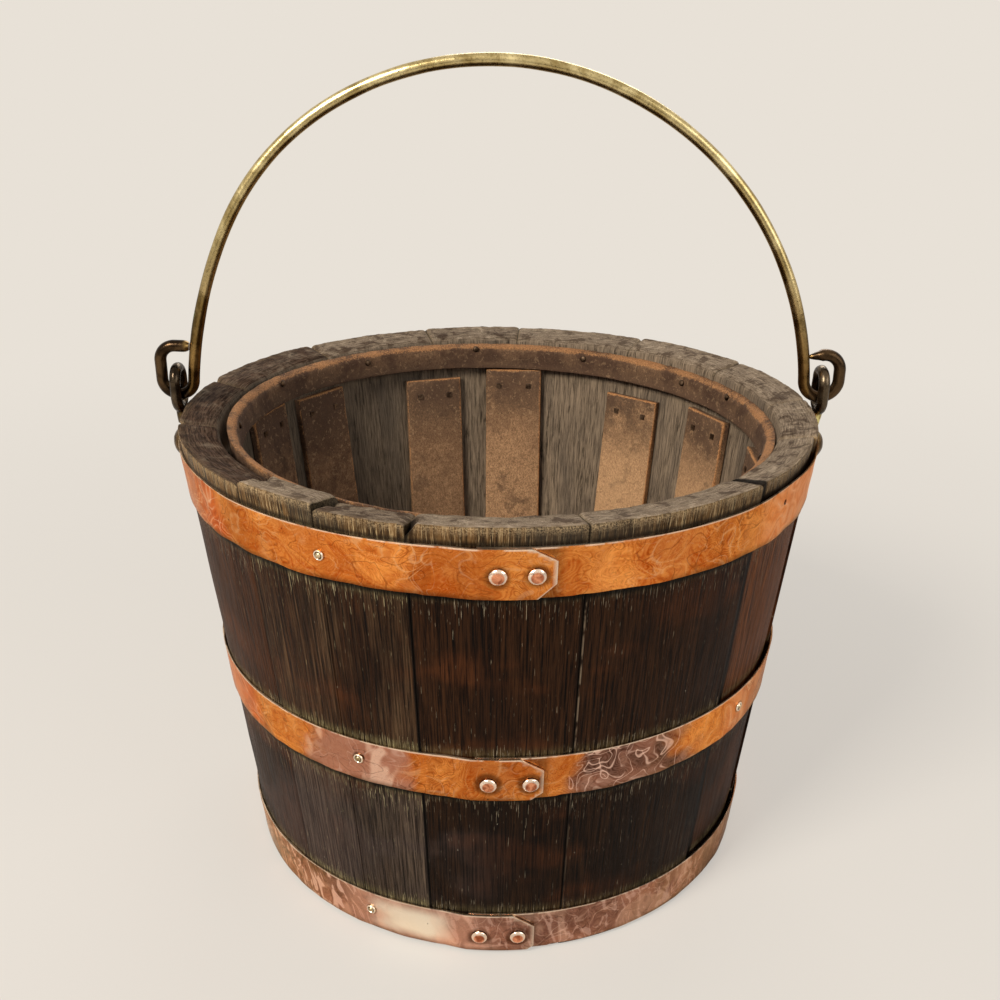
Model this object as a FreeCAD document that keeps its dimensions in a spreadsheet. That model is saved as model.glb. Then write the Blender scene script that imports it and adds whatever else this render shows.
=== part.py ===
import FreeCAD, Part
import Sketcher
import math
import os
from FreeCAD import Placement, Rotation, Vector

# A coopered bucket. The origin is the centre of the circle that it stands on, +Z is up,
# -Y is the front, and angles are counted from +X towards +Y.

# Driving sizes, in millimetres. Each one becomes a cell of the sheet under its own name.
SIZES = {
    # Staves
    "bucket_height": 279.5,
    "rim_radius": 190.0,
    "foot_radius": 159.0,
    "wall_thickness": 22.0,
    "rim_fall": 3.5,
    "rim_wear": 1.4,
    "rim_inner_wear": 3.0,
    "foot_wear": 1.2,
    "stave_joint_gap": 0.2,
    "stave_unevenness": 3.2,
    "stave_set_back": 2.0,
    # Base
    "croze_height": 18.0,
    "croze_depth": 5.0,
    "croze_clearance": 0.2,
    "base_thickness": 14.0,
    "base_joint_gap": 0.2,
    "middle_board_width": 98.0,
    "dowel_radius": 4.0,
    "dowel_length": 40.0,
    "dowel_clearance": 0.1,
    "dowel_spacing": 130.0,
    # Copper hoops
    "hoop_thickness": 1.5,
    "hoop_width": 27.6,
    "hoop_clearance": 0.1,
    "lap_clearance": 0.2,
    "tip_cut_length": 12.5,
    "top_hoop_drop": 9.8,
    "middle_hoop_height": 116.4,
    "bottom_hoop_height": 2.4,
    # Rivets and tacks
    "rivet_head_radius": 4.6,
    "rivet_head_height": 2.3,
    "rivet_head_flat": 1.5,
    "rivet_shank_radius": 1.7,
    "rivet_clearance": 0.1,
    "tack_head_radius": 2.7,
    "tack_head_height": 1.3,
    "tack_head_flat": 0.8,
    "tack_shank_radius": 0.9,
    "tack_length": 16.0,
    # Lining: battens over the joints and a bent ring under the rim
    "batten_width": 41.0,
    "batten_thickness": 5.0,
    "batten_wear": 1.0,
    "batten_clearance": 0.5,
    "batten_drop": 5.5,
    "batten_unevenness": 8.0,
    "batten_nail_drop": 12.0,
    "batten_nail_spacing": 22.0,
    "ring_height": 17.0,
    "ring_thickness": 6.5,
    "ring_drop": 7.0,
    "ring_wear": 3.2,
    "ring_shift": 1.9,
    "ring_clearance": 0.5,
    "ring_nail_height": 11.5,
    "nail_head_width": 3.4,
    "nail_head_height": 0.9,
    "nail_shank_width": 1.8,
    "nail_length": 20.0,
    # Ears
    "right_ear_offset": 5.5,
    "left_ear_offset": 4.5,
    "ear_bar_radius": 3.5,
    "eye_clearance": 0.5,
    "eye_rise": 8.6,
    "ear_plate_thickness": 3.4,
    "ear_plate_radius": 12.5,
    "ear_plate_rise": 11.9,
    "ear_plate_reach": 14.2,
    "ear_plate_clearance": 0.1,
    "ear_rivet_radius": 10.0,
    "ear_rivet_height": 8.4,
    "ear_rivet_flat": 1.5,
    "ear_rivet_shank_radius": 3.0,
    "ear_rivet_grip": 15.0,
    # Bail
    "bail_rod_radius": 3.75,
    "bail_rim_clearance": 0.4,
    "right_hook_radius": 10.5,
    "right_hook_rise": 6.0,
    "right_curl_radius": 9.6,
    "right_curl_run": 0.6,
    "right_tip_length": 8.2,
    "right_tip_radius": 0.9,
    "left_hook_radius": 9.5,
    "left_hook_rise": 11.5,
    "left_curl_radius": 9.0,
    "left_curl_run": 6.4,
    "left_tip_length": 3.6,
    "left_tip_radius": 2.4,
    # Overrun of every cutting tool past the faces that it cuts
    "cut_overrun": 2.0,
}

# Heights that follow from the sizes above: what lies under the rim is placed from the rim down.
DERIVED = {
    "top_hoop_height": "bucket_height - top_hoop_drop - hoop_width",
    "ear_plate_height": "top_hoop_height + ear_plate_rise",
    "ring_bottom_height": "bucket_height - ring_drop - ring_height",
    "batten_top_height": "ring_bottom_height - batten_drop",
}

# Joints between the staves, in degrees, and how each stave that starts there differs from its
# neighbours: how far its top stands up and its face stands back, as shares of the named sizes.
STAVE_JOINT_ANGLES = [
    3.0, 29.2, 56.0, 85.4, 107.2, 135.9, 166.0, 191.8, 226.4, 242.0, 256.7, 283.0, 314.7, 342.0,
]
RISE_SHARES = [-0.1, 0.0, -0.2, 0.0, -0.15, 0.0, -0.1, 0.0, 1.0, -0.1, 0.1, 0.2, -0.2, 0.0]
SET_BACK_SHARES = [0.0, 0.0, 0.2, 0.0, 0.3, 0.0, 0.2, 0.0, 0.0, 0.1, 0.2, 0.0, 1.0, 0.2]

# Battens: middle angle, lean in degrees, and height of the top as a share of its unevenness.
BATTEN_ANGLES = [-1.5, 26.0, 53.4, 85.6, 108.5, 140.4, 162.6, 191.8, 222.0, 243.0, 263.0, 284.5, 312.0, 336.0]
BATTEN_LEAN_ANGLES = [0.4, -0.6, 0.8, -0.3, 0.5, -0.9, 0.6, 0.0, 0.5, -0.3, 0.4, -0.5, 0.3, -0.4]
BATTEN_TOP_SHARES = [-0.6, -0.3, -0.9, 0.45, -0.25, 0.4, 0.7, 0.3, 0.0, 0.2, -0.2, 0.1, -0.4, 0.0]

# Height of the battens' feet, just above the base.
BATTEN_FOOT = "(Sizes.croze_height + Sizes.base_thickness + Sizes.batten_clearance)"

# The ring stands tipped up at the left and shifted to the right, as it was nailed.
RING_TILT_ANGLE = 1.05
RING_SHIFT_ANGLE = 30.0
RING_BUTT_ANGLE = 262.0
RING_TURN_ANGLE = 359.2
RING_NAIL_ANGLES = [19.8, 37.3, 67.6, 96.9, 127.4, 157.0, 187.0, 217.0, 246.0, 277.0, 307.0, 341.0]
RING_NAIL_SHARES = [0.1, -0.1, 0.0, 0.15, -0.05, 0.1, 0.0, -0.1, 0.05, 0.0, 0.1, -0.1]

# Angles of each hoop: where the inner end lies, where the band starts and ends its step over it,
# and where the outer tip ends; then its rivets, tacks and empty nail holes.
HOOPS = {
    "top": {
        "inner_end_angle": 267.0, "step_start_angle": 262.0, "step_end_angle": 266.4, "tip_angle": 278.4,
        "rivet_angles": (270.0, 275.5), "tack_angles": (242.7, 36.0, 141.0), "hole_angles": (323.3,),
        "top_cut_share": 0.25, "bottom_cut_share": 0.30, "bottom_length_share": 0.7,
        "rivet_share": -0.02, "tack_share": -0.02, "hole_share": 0.18, "ear_angles": (0.0, 180.0),
    },
    "middle": {
        "inner_end_angle": 266.2, "step_start_angle": 261.4, "step_end_angle": 265.6, "tip_angle": 277.9,
        "rivet_angles": (268.5, 275.7), "tack_angles": (245.1, 322.2, 41.0, 150.0), "hole_angles": (),
        "top_cut_share": 0.29, "bottom_cut_share": 0.17, "bottom_length_share": 0.5,
        "rivet_share": -0.10, "tack_share": 0.05, "hole_share": 0.0, "ear_angles": (),
    },
    "bottom": {
        "inner_end_angle": 264.4, "step_start_angle": 259.4, "step_end_angle": 263.8, "tip_angle": 277.5,
        "rivet_angles": (266.6, 274.2), "tack_angles": (243.4, 33.0, 146.0), "hole_angles": (),
        "top_cut_share": 0.33, "bottom_cut_share": 0.10, "bottom_length_share": 0.3,
        "rivet_share": -0.08, "tack_share": 0.03, "hole_share": 0.0, "ear_angles": (),
    },
}

# Bends of the bail from the right leg over the top to the left leg: radius as a share of one
# common radius, and turn in degrees. The common radius follows from the distance of the legs.
# Headings in the bail's plane are counted from +X towards +Z.
UP_ANGLE = 90.0
DOWN_ANGLE = 270.0
BAIL_LEAN_ANGLE = 4.8
BAIL_BEND_SHARES = [1.082, 1.066, 0.967, 0.862, 1.447]
BAIL_TURN_ANGLES = [31.4, 27.6, 55.3, 34.3, 19.7]
RIGHT_CURL_ANGLE = 98.0
LEFT_CURL_ANGLE = 92.0

# Where a domed head's curve passes, as shares of its height and of its radius, and how thin the
# point of a cut nail is.
DOME_HEIGHT_SHARE = 0.72
DOME_RADIUS_SHARE = 0.66
NAIL_POINT_SHARE = 0.5
RING_CROWN_SHARE = 0.35

doc = FreeCAD.newDocument("Bucket")
sheet = doc.addObject("Spreadsheet::Sheet", "Sizes")


def fill_sheet():
    """Write every size into the sheet, with its name beside it; a derived height is a formula."""
    cells = list(SIZES.items()) + [(name, "=" + rule) for name, rule in DERIVED.items()]
    for row, (name, value) in enumerate(cells, start=1):
        sheet.set("A%d" % row, name)
        sheet.setAlias("B%d" % row, name)
        sheet.set("B%d" % row, str(value))
    doc.recompute()


def mm(name):
    """The value of one cell."""
    return float(sheet.get(name))


def number(expression):
    """What an expression over the sheet's cells comes to."""
    return float(sheet.evalExpression(expression))


def radius_at(height):
    """Expression for the radius of the staves' outer face at a height."""
    slope = "(Sizes.rim_radius - Sizes.foot_radius) / Sizes.bucket_height"
    return "(Sizes.foot_radius + %s * (%s))" % (slope, height)


def face_radius(height):
    """Radius of the staves' outer face at a height."""
    return mm("foot_radius") + wall_slope() * height


def wall_slope():
    """How far the wall leans out for each millimetre of height."""
    return (mm("rim_radius") - mm("foot_radius")) / mm("bucket_height")


def wall_angle():
    """Lean of the wall from upright, in degrees."""
    return math.degrees(math.atan(wall_slope()))


def on_wall(angle, height, radius):
    """Placement with X pointing out of the leaning wall and Z running up along it."""
    turn = Placement(Vector(), Rotation(Vector(0, 0, 1), angle))
    shift = Placement(Vector(radius, 0, height), Rotation())
    lean = Placement(Vector(), Rotation(Vector(0, 1, 0), wall_angle()))
    return turn.multiply(shift).multiply(lean)


def off_wall(angle, height, stand_off):
    """The same frame, moved square to the wall until it stands off the staves' face."""
    out = stand_off * math.cos(math.radians(wall_angle()))
    return on_wall(angle, height, face_radius(height)).multiply(Placement(Vector(out, 0, 0), Rotation()))


def placed(shape, placement):
    """A copy of a shape, moved to a placement."""
    copy = shape.copy()
    copy.Placement = placement.multiply(copy.Placement)
    return copy


def origin_plane(body, role):
    """One of a body's own origin planes."""
    return next(item for item in body.Origin.OriginFeatures if item.Role == role)


def new_body(label):
    """An empty body under the name of its piece."""
    body = doc.addObject("PartDesign::Body", label)
    body.Label = label
    return body


def new_sketch(body, role, name):
    """A sketch on one of the body's origin planes."""
    sketch = body.newObject("Sketcher::SketchObject", name)
    sketch.AttachmentSupport = (origin_plane(body, role), "")
    sketch.MapMode = "FlatFace"
    return sketch


def pin_point(sketch, geometry, vertex, across, up):
    """Hold a sketch point at two expressions, counted from the sketch's origin."""
    for kind, axis, expression in (("DistanceX", -2, across), ("DistanceY", -1, up)):
        value = number(expression)
        if value == 0:
            sketch.addConstraint(Sketcher.Constraint("PointOnObject", geometry, vertex, axis))
            continue
        index = sketch.addConstraint(Sketcher.Constraint(kind, -1, 1, geometry, vertex, value))
        sketch.setExpression("Constraints[%d]" % index, expression)


def draw_outline(sketch, corners):
    """A closed outline of straight lines through corners given as expressions."""
    points = [Vector(number(across), number(up), 0) for across, up in corners]
    count = len(points)
    for index in range(count):
        sketch.addGeometry(Part.LineSegment(points[index], points[(index + 1) % count]), False)
    for index in range(count):
        sketch.addConstraint(Sketcher.Constraint("Coincident", index, 2, (index + 1) % count, 1))
    for index, (across, up) in enumerate(corners):
        pin_point(sketch, index, 1, across, up)


def make_stave(index):
    """One oak stave: its section turned through its own share of the circle."""
    body = new_body("stave_%02d" % (index + 1))
    start = STAVE_JOINT_ANGLES[index]
    span = (STAVE_JOINT_ANGLES[(index + 1) % len(STAVE_JOINT_ANGLES)] - start) % 360
    top = "(Sizes.bucket_height + %g * Sizes.stave_unevenness)" % RISE_SHARES[index]
    back = "%g * Sizes.stave_set_back" % SET_BACK_SHARES[index]
    croze_top = "(Sizes.croze_height + Sizes.base_thickness)"
    croze_root = radius_at("Sizes.croze_height") + " - Sizes.wall_thickness + Sizes.croze_depth"
    inner_lip = "(%s - Sizes.rim_fall)" % top
    worn_lip = "(%s - Sizes.rim_inner_wear)" % inner_lip
    worn_top = "(%s - Sizes.rim_wear)" % top
    corners = [
        (radius_at("0") + " - Sizes.wall_thickness", "0"),
        (radius_at("0") + " - %s - Sizes.foot_wear" % back, "0"),
        (radius_at("Sizes.foot_wear") + " - " + back, "Sizes.foot_wear"),
        (radius_at(worn_top) + " - " + back, worn_top),
        (radius_at(top) + " - %s - Sizes.rim_wear" % back, top),
        (radius_at(inner_lip) + " - Sizes.wall_thickness + Sizes.rim_inner_wear", inner_lip),
        (radius_at(worn_lip) + " - Sizes.wall_thickness", worn_lip),
        (radius_at(croze_top) + " - Sizes.wall_thickness", croze_top),
        (croze_root, croze_top),
        (croze_root, "Sizes.croze_height"),
        (radius_at("Sizes.croze_height") + " - Sizes.wall_thickness", "Sizes.croze_height"),
    ]
    sketch = new_sketch(body, "XZ_Plane", "StaveSection%02d" % (index + 1))
    draw_outline(sketch, corners)
    turned = body.newObject("PartDesign::Revolution", "StaveTurn%02d" % (index + 1))
    turned.Profile = sketch
    turned.ReferenceAxis = (sketch, ["V_Axis"])
    turned.Midplane = True
    turned.setExpression("Angle", "%g - Sizes.stave_joint_gap / Sizes.rim_radius * 180 / pi" % span)
    body.Placement = Placement(Vector(), Rotation(Vector(0, 0, 1), start + span / 2))
    return body


def base_board(label, disc, holes, low, high):
    """One board of the base: the disc between two heights across it, bored for its dowels."""
    slab = doc.addObject("Part::Box", label + "_slab")
    slab.setExpression("Length", "(%s) - (%s)" % (high, low))
    slab.setExpression("Width", "2 * (Sizes.foot_radius)")
    slab.setExpression("Height", "Sizes.base_thickness")
    slab.setExpression("Placement.Base.x", low)
    slab.setExpression("Placement.Base.y", "-Sizes.foot_radius")
    slab.setExpression("Placement.Base.z", "Sizes.croze_height")
    plank = doc.addObject("Part::Common", label + "_plank")
    plank.Base = disc
    plank.Tool = slab
    board = doc.addObject("Part::Cut", label)
    board.Base = plank
    board.Tool = holes
    board.Label = label
    return board


def dowel_row(name, radius, length):
    """Dowels along X through the middle of the base, two at each joint between its boards."""
    pins = []
    for side, joint in (("left", "-Sizes.middle_board_width / 2"), ("right", "Sizes.middle_board_width / 2")):
        for end, place in (("front", "-Sizes.dowel_spacing / 2"), ("back", "Sizes.dowel_spacing / 2")):
            dowel = doc.addObject("Part::Cylinder", "%s_%s_%s" % (name, side, end))
            dowel.setExpression("Radius", radius)
            dowel.setExpression("Height", length)
            dowel.Placement = Placement(Vector(), Rotation(Vector(0, 1, 0), 90))
            dowel.setExpression("Placement.Base.x", "%s - (%s) / 2" % (joint, length))
            dowel.setExpression("Placement.Base.y", place)
            dowel.setExpression("Placement.Base.z", "Sizes.croze_height + Sizes.base_thickness / 2")
            pins.append(dowel)
    group = doc.addObject("Part::Compound", name)
    group.Links = pins
    group.Label = name
    return group


def make_base():
    """Three oak boards held together by dowels, their edge let into the croze."""
    disc = doc.addObject("Part::Cylinder", "base_disc")
    croze_root = radius_at("Sizes.croze_height") + " - Sizes.wall_thickness + Sizes.croze_depth"
    disc.setExpression("Radius", croze_root + " - Sizes.croze_clearance")
    disc.setExpression("Height", "Sizes.base_thickness")
    disc.setExpression("Placement.Base.z", "Sizes.croze_height")
    bore = "Sizes.dowel_radius + Sizes.dowel_clearance"
    holes = dowel_row("dowel_bores", bore, "Sizes.dowel_length + 2 * Sizes.dowel_clearance")
    edge = "Sizes.middle_board_width / 2"
    gap = "Sizes.base_joint_gap / 2"
    left = base_board("base_board_left", disc, holes, "-Sizes.foot_radius", "-%s - %s" % (edge, gap))
    middle = base_board("base_board_middle", disc, holes, "-%s + %s" % (edge, gap), "%s - %s" % (edge, gap))
    right = base_board("base_board_right", disc, holes, "%s + %s" % (edge, gap), "Sizes.foot_radius")
    dowels = dowel_row("base_dowels", "Sizes.dowel_radius", "Sizes.dowel_length")
    return [left, middle, right, dowels]


def batten_length(index):
    """Expression for the length of a batten along the leaning wall."""
    top = "(Sizes.batten_top_height + %g * Sizes.batten_unevenness)" % BATTEN_TOP_SHARES[index]
    lean = "((Sizes.rim_radius - Sizes.foot_radius) / Sizes.bucket_height)"
    return "(%s - %s) * sqrt(1 + %s * %s)" % (top, BATTEN_FOOT, lean, lean)


def batten_placement(index):
    """Where a batten's back stands on the inside of the wall, with its own lean."""
    foot = number(BATTEN_FOOT)
    inner = face_radius(foot) - mm("wall_thickness")
    back = math.sqrt(inner ** 2 - (mm("batten_width") / 2) ** 2) - mm("batten_clearance")
    lean = Placement(Vector(), Rotation(Vector(1, 0, 0), BATTEN_LEAN_ANGLES[index]))
    return on_wall(BATTEN_ANGLES[index], foot, back).multiply(lean)


def make_batten(index):
    """One thin board nailed over the inside of a stave joint, its face edges worn."""
    body = new_body("batten_%02d" % (index + 1))
    half = "Sizes.batten_width / 2"
    length = batten_length(index)
    sketch = new_sketch(body, "YZ_Plane", "BattenFace%02d" % (index + 1))
    draw_outline(sketch, [("-" + half, "0"), (half, "0"), (half, length), ("-" + half, length)])
    pad = body.newObject("PartDesign::Pad", "BattenBoard%02d" % (index + 1))
    pad.Profile = sketch
    pad.Reversed = True
    pad.setExpression("Length", "Sizes.batten_thickness")
    doc.recompute()
    face = pad.Shape.BoundBox.XMin + mm("batten_wear") / 2
    worn = ["Edge%d" % place for place, edge in enumerate(pad.Shape.Edges, start=1)
            if edge.BoundBox.XMax < face]
    chamfer = body.newObject("PartDesign::Chamfer", "BattenWear%02d" % (index + 1))
    chamfer.Base = (pad, worn)
    chamfer.setExpression("Size", "Sizes.batten_wear")
    body.Placement = batten_placement(index)
    return body


def ring_placement():
    """The ring's own tilt and shift inside the bucket."""
    middle = Vector(0, 0, mm("ring_bottom_height") + mm("ring_height") / 2)
    tilt = Placement(Vector(), Rotation(Vector(0, 1, 0), RING_TILT_ANGLE), middle)
    angle = math.radians(RING_SHIFT_ANGLE)
    shift = Vector(math.cos(angle), math.sin(angle), 0) * mm("ring_shift")
    return Placement(shift, Rotation()).multiply(tilt)


def make_ring():
    """The bent board ring under the rim, with its worn top and its butted ends."""
    body = new_body("liner_ring")
    low = "Sizes.ring_bottom_height"
    high = "(Sizes.ring_bottom_height + Sizes.ring_height)"
    worn = "(%s - Sizes.ring_wear)" % high
    room = " - Sizes.wall_thickness - Sizes.ring_clearance - Sizes.ring_shift"
    inner = room + " - Sizes.ring_thickness"
    sketch = new_sketch(body, "XZ_Plane", "RingSection")
    draw_outline(sketch, [
        (radius_at(low) + inner, low),
        (radius_at(low) + room, low),
        (radius_at(high) + room, high),
        (radius_at(high) + room + " - %g * Sizes.ring_thickness" % RING_CROWN_SHARE, high),
        (radius_at(worn) + inner, worn),
    ])
    turned = body.newObject("PartDesign::Revolution", "RingTurn")
    turned.Profile = sketch
    turned.ReferenceAxis = (sketch, ["V_Axis"])
    turned.Midplane = True
    turned.Angle = RING_TURN_ANGLE
    butt = Placement(Vector(), Rotation(Vector(0, 0, 1), RING_BUTT_ANGLE + 180))
    body.Placement = ring_placement().multiply(butt)
    return body


def add_feature(label, shape):
    """A piece whose shape is worked out by the functions below."""
    feature = doc.addObject("Part::Feature", label)
    feature.Label = label
    feature.Shape = shape
    return feature


def square_corners(across, half):
    """Closed corners of a square that stands across the X axis."""
    signs = ((-1, -1), (1, -1), (1, 1), (-1, 1), (-1, -1))
    return [Vector(across, half * side, half * up) for side, up in signs]


def square_nail():
    """A cut nail driven along +X, the underside of its square head at the origin."""
    head = mm("nail_head_width")
    rise = mm("nail_head_height")
    half = mm("nail_shank_width") / 2
    cap = Part.makeBox(rise, head, head, Vector(-rise, -head / 2, -head / 2))
    wide = Part.makePolygon(square_corners(0, half))
    point = Part.makePolygon(square_corners(mm("nail_length"), half * NAIL_POINT_SHARE))
    return cap.fuse(Part.makeLoft([wide, point], True, True))


def round_nail(head_radius, head_height, flat, shank_radius, length):
    """A domed head that seats at the origin and faces +X, on a round shank along -X."""
    crown = Vector(head_height * DOME_HEIGHT_SHARE, 0, head_radius * DOME_RADIUS_SHARE)
    dome = Part.Arc(Vector(0, 0, head_radius), crown, Vector(head_height, 0, flat)).toShape()
    corners = [Vector(head_height, 0, flat), Vector(head_height, 0, 0), Vector(-length, 0, 0),
               Vector(-length, 0, shank_radius), Vector(0, 0, shank_radius), Vector(0, 0, head_radius)]
    straight = [Part.makeLine(start, end) for start, end in zip(corners, corners[1:])]
    return Part.Face(Part.Wire([dome] + straight)).revolve(Vector(), Vector(1, 0, 0), 360)


def make_batten_nails():
    """Two cut nails near the top of every batten."""
    nail = square_nail()
    nails = []
    for index in range(len(BATTEN_ANGLES)):
        height = number(batten_length(index)) - mm("batten_nail_drop")
        for side in (-1, 1):
            across = side * mm("batten_nail_spacing") / 2
            seat = Placement(Vector(-mm("batten_thickness"), across, height), Rotation())
            nails.append(placed(nail, batten_placement(index).multiply(seat)))
    return add_feature("batten_nails", Part.makeCompound(nails))


def make_ring_nails():
    """Cut nails through the ring into the staves."""
    nail = square_nail()
    nails = []
    for angle, share in zip(RING_NAIL_ANGLES, RING_NAIL_SHARES):
        height = mm("ring_bottom_height") + mm("ring_nail_height") + share * mm("ring_height")
        room = mm("wall_thickness") + mm("ring_clearance") + mm("ring_shift") + mm("ring_thickness")
        seat = on_wall(angle, height, face_radius(height) - room)
        nails.append(placed(nail, ring_placement().multiply(seat)))
    return add_feature("ring_nails", Part.makeCompound(nails))


def band_section(low, stand_off, angle):
    """Section of a hoop's band at an angle, standing off the staves' face."""
    high = low + mm("hoop_width")
    inner = [(face_radius(height) + stand_off, height) for height in (low, high)]
    outer = [(radius + mm("hoop_thickness"), height) for radius, height in reversed(inner)]
    corners = [Vector(radius, 0, height) for radius, height in inner + outer]
    wire = Part.makePolygon(corners + corners[:1])
    wire.rotate(Vector(), Vector(0, 0, 1), angle)
    return wire


def turned_band(low, stand_off, start, turn):
    """A length of a hoop's band that follows the staves round."""
    face = Part.Face(band_section(low, stand_off, start))
    return face.revolve(Vector(), Vector(0, 0, 1), turn)


def cut_tip(band, low, stand_off, hoop):
    """The outer end of a hoop with its two corners cut off."""
    high = low + mm("hoop_width")
    top = (high, 1, hoop["top_cut_share"], 1)
    bottom = (low, hoop["bottom_length_share"], hoop["bottom_cut_share"], -1)
    for height, length_share, height_share, up in (top, bottom):
        back = Vector(0, -mm("tip_cut_length") * length_share, 0)
        down = Vector(0, 0, -up * mm("hoop_width") * height_share)
        inside = Vector(-mm("cut_overrun"), 0, 0)
        corners = [inside + back * 2 - down, inside - back - down, inside - back + down * 2]
        outline = Part.Face(Part.makePolygon(corners + corners[:1]))
        wedge = outline.extrude(Vector(mm("hoop_thickness") + 2 * mm("cut_overrun"), 0, 0))
        band = band.cut(placed(wedge, off_wall(hoop["tip_angle"], height, stand_off)))
    return band


def hoop_seat(name, share):
    """Height of a place on a hoop, as a share of its width above its middle."""
    return mm(name + "_hoop_height") + mm("hoop_width") / 2 + mm("hoop_width") * share


def hoop_bore(angle, height, radius):
    """A cutter that bores a hoop square to its face."""
    length = 2 * mm("hoop_thickness") + 2 * mm("cut_overrun")
    bore = Part.makeCylinder(radius, length, Vector(-mm("cut_overrun"), 0, 0), Vector(1, 0, 0))
    return placed(bore, off_wall(angle, height, 0))


def lap_stand_off():
    """How far the outer layer of a lap stands off the staves."""
    return mm("hoop_clearance") + mm("hoop_thickness") + mm("lap_clearance")


def make_hoop(name):
    """One open copper band that steps out over its own inner end, bored for what goes through."""
    hoop = HOOPS[name]
    low = mm(name + "_hoop_height")
    inner = mm("hoop_clearance")
    outer = lap_stand_off()
    around = hoop["step_start_angle"] - hoop["inner_end_angle"] + 360
    band = turned_band(low, inner, hoop["inner_end_angle"], around)
    step_foot = band_section(low, inner, hoop["step_start_angle"])
    step_head = band_section(low, outer, hoop["step_end_angle"])
    step = Part.makeLoft([step_foot, step_head], True, True)
    lap = turned_band(low, outer, hoop["step_end_angle"], hoop["tip_angle"] - hoop["step_end_angle"])
    whole = band.fuse([step, cut_tip(lap, low, outer, hoop)])
    bores = [hoop_bore(angle, hoop_seat(name, hoop["rivet_share"]),
                       mm("rivet_shank_radius") + mm("rivet_clearance")) for angle in hoop["rivet_angles"]]
    bores += [hoop_bore(angle, hoop_seat(name, hoop["tack_share"]),
                        mm("tack_shank_radius") + mm("rivet_clearance")) for angle in hoop["tack_angles"]]
    bores += [hoop_bore(angle, hoop_seat(name, hoop["hole_share"]),
                        mm("tack_shank_radius") + mm("rivet_clearance")) for angle in hoop["hole_angles"]]
    bores += [hoop_bore(angle, mm("ear_plate_height"),
                        mm("ear_rivet_shank_radius") + mm("rivet_clearance")) for angle in hoop["ear_angles"]]
    return add_feature(name + "_hoop", whole.cut(bores))


def make_rivets(name):
    """The two domed rivets that hold a hoop's lap together."""
    hoop = HOOPS[name]
    height = hoop_seat(name, hoop["rivet_share"])
    grip = 2 * mm("hoop_thickness") + mm("lap_clearance")
    rivet = round_nail(mm("rivet_head_radius"), mm("rivet_head_height"), mm("rivet_head_flat"),
                       mm("rivet_shank_radius"), grip)
    face = lap_stand_off() + mm("hoop_thickness")
    rivets = [placed(rivet, off_wall(angle, height, face)) for angle in hoop["rivet_angles"]]
    return add_feature(name + "_hoop_rivets", Part.makeCompound(rivets))


def make_tacks(name):
    """The brass tacks that hold a hoop to the staves."""
    hoop = HOOPS[name]
    height = hoop_seat(name, hoop["tack_share"])
    tack = round_nail(mm("tack_head_radius"), mm("tack_head_height"), mm("tack_head_flat"),
                      mm("tack_shank_radius"), mm("tack_length"))
    face = mm("hoop_clearance") + mm("hoop_thickness")
    tacks = [placed(tack, off_wall(angle, height, face)) for angle in hoop["tack_angles"]]
    return add_feature(name + "_hoop_tacks", Part.makeCompound(tacks))


def bail_axis_height():
    """Height of the line that the bail swings about: laid flat it rests on the rim."""
    return mm("bucket_height") + mm("bail_rim_clearance") + mm("bail_rod_radius")


def ear_plate_seat(side):
    """Where the back of an ear's plate lies on the top hoop."""
    off = mm("hoop_clearance") + mm("hoop_thickness") + mm("ear_plate_clearance")
    return off_wall(side, mm("ear_plate_height"), off)


def eye_half(radius, height, turn):
    """Half of a round bar ring that stands across the X axis."""
    bar = mm("ear_bar_radius")
    half = Part.makeTorus(radius, bar, Vector(), Vector(0, 0, 1), -180, 180, 180)
    half.rotate(Vector(), Vector(0, 0, 1), turn)
    half.rotate(Vector(), Vector(0, 1, 0), 90)
    half.translate(Vector(0, 0, height))
    return half


def make_eye(plane):
    """The upright eye of an ear, a long link of round bar that the bail's hook runs in."""
    bar = mm("ear_bar_radius")
    radius = mm("bail_rod_radius") + mm("eye_clearance") + bar
    low = bail_axis_height()
    high = low + mm("eye_rise")
    sides = [Part.makeCylinder(bar, mm("eye_rise"), Vector(0, side * radius, low)) for side in (-1, 1)]
    eye = eye_half(radius, low, -90).fuse([eye_half(radius, high, 90)] + sides)
    eye.translate(Vector(plane, 0, 0))
    return eye, Vector(plane, 0, low - radius)


def plate_outline(radius, tip_radius, reach):
    """A leaf: a large round end, straight sides and a small round tip above it."""
    slope = math.asin((radius - tip_radius) / reach)
    side = Vector(0, math.cos(slope), math.sin(slope))
    mirror = Vector(0, -side.y, side.z)
    tip = Vector(0, 0, reach)
    foot = Vector(0, 0, -radius)
    crown = tip + Vector(0, 0, tip_radius)
    edges = [
        Part.Arc(side * radius, foot, mirror * radius).toShape(),
        Part.makeLine(mirror * radius, tip + mirror * tip_radius),
        Part.Arc(tip + mirror * tip_radius, crown, tip + side * tip_radius).toShape(),
        Part.makeLine(tip + side * tip_radius, side * radius),
    ]
    return Part.Face(Part.Wire(edges))


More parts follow.
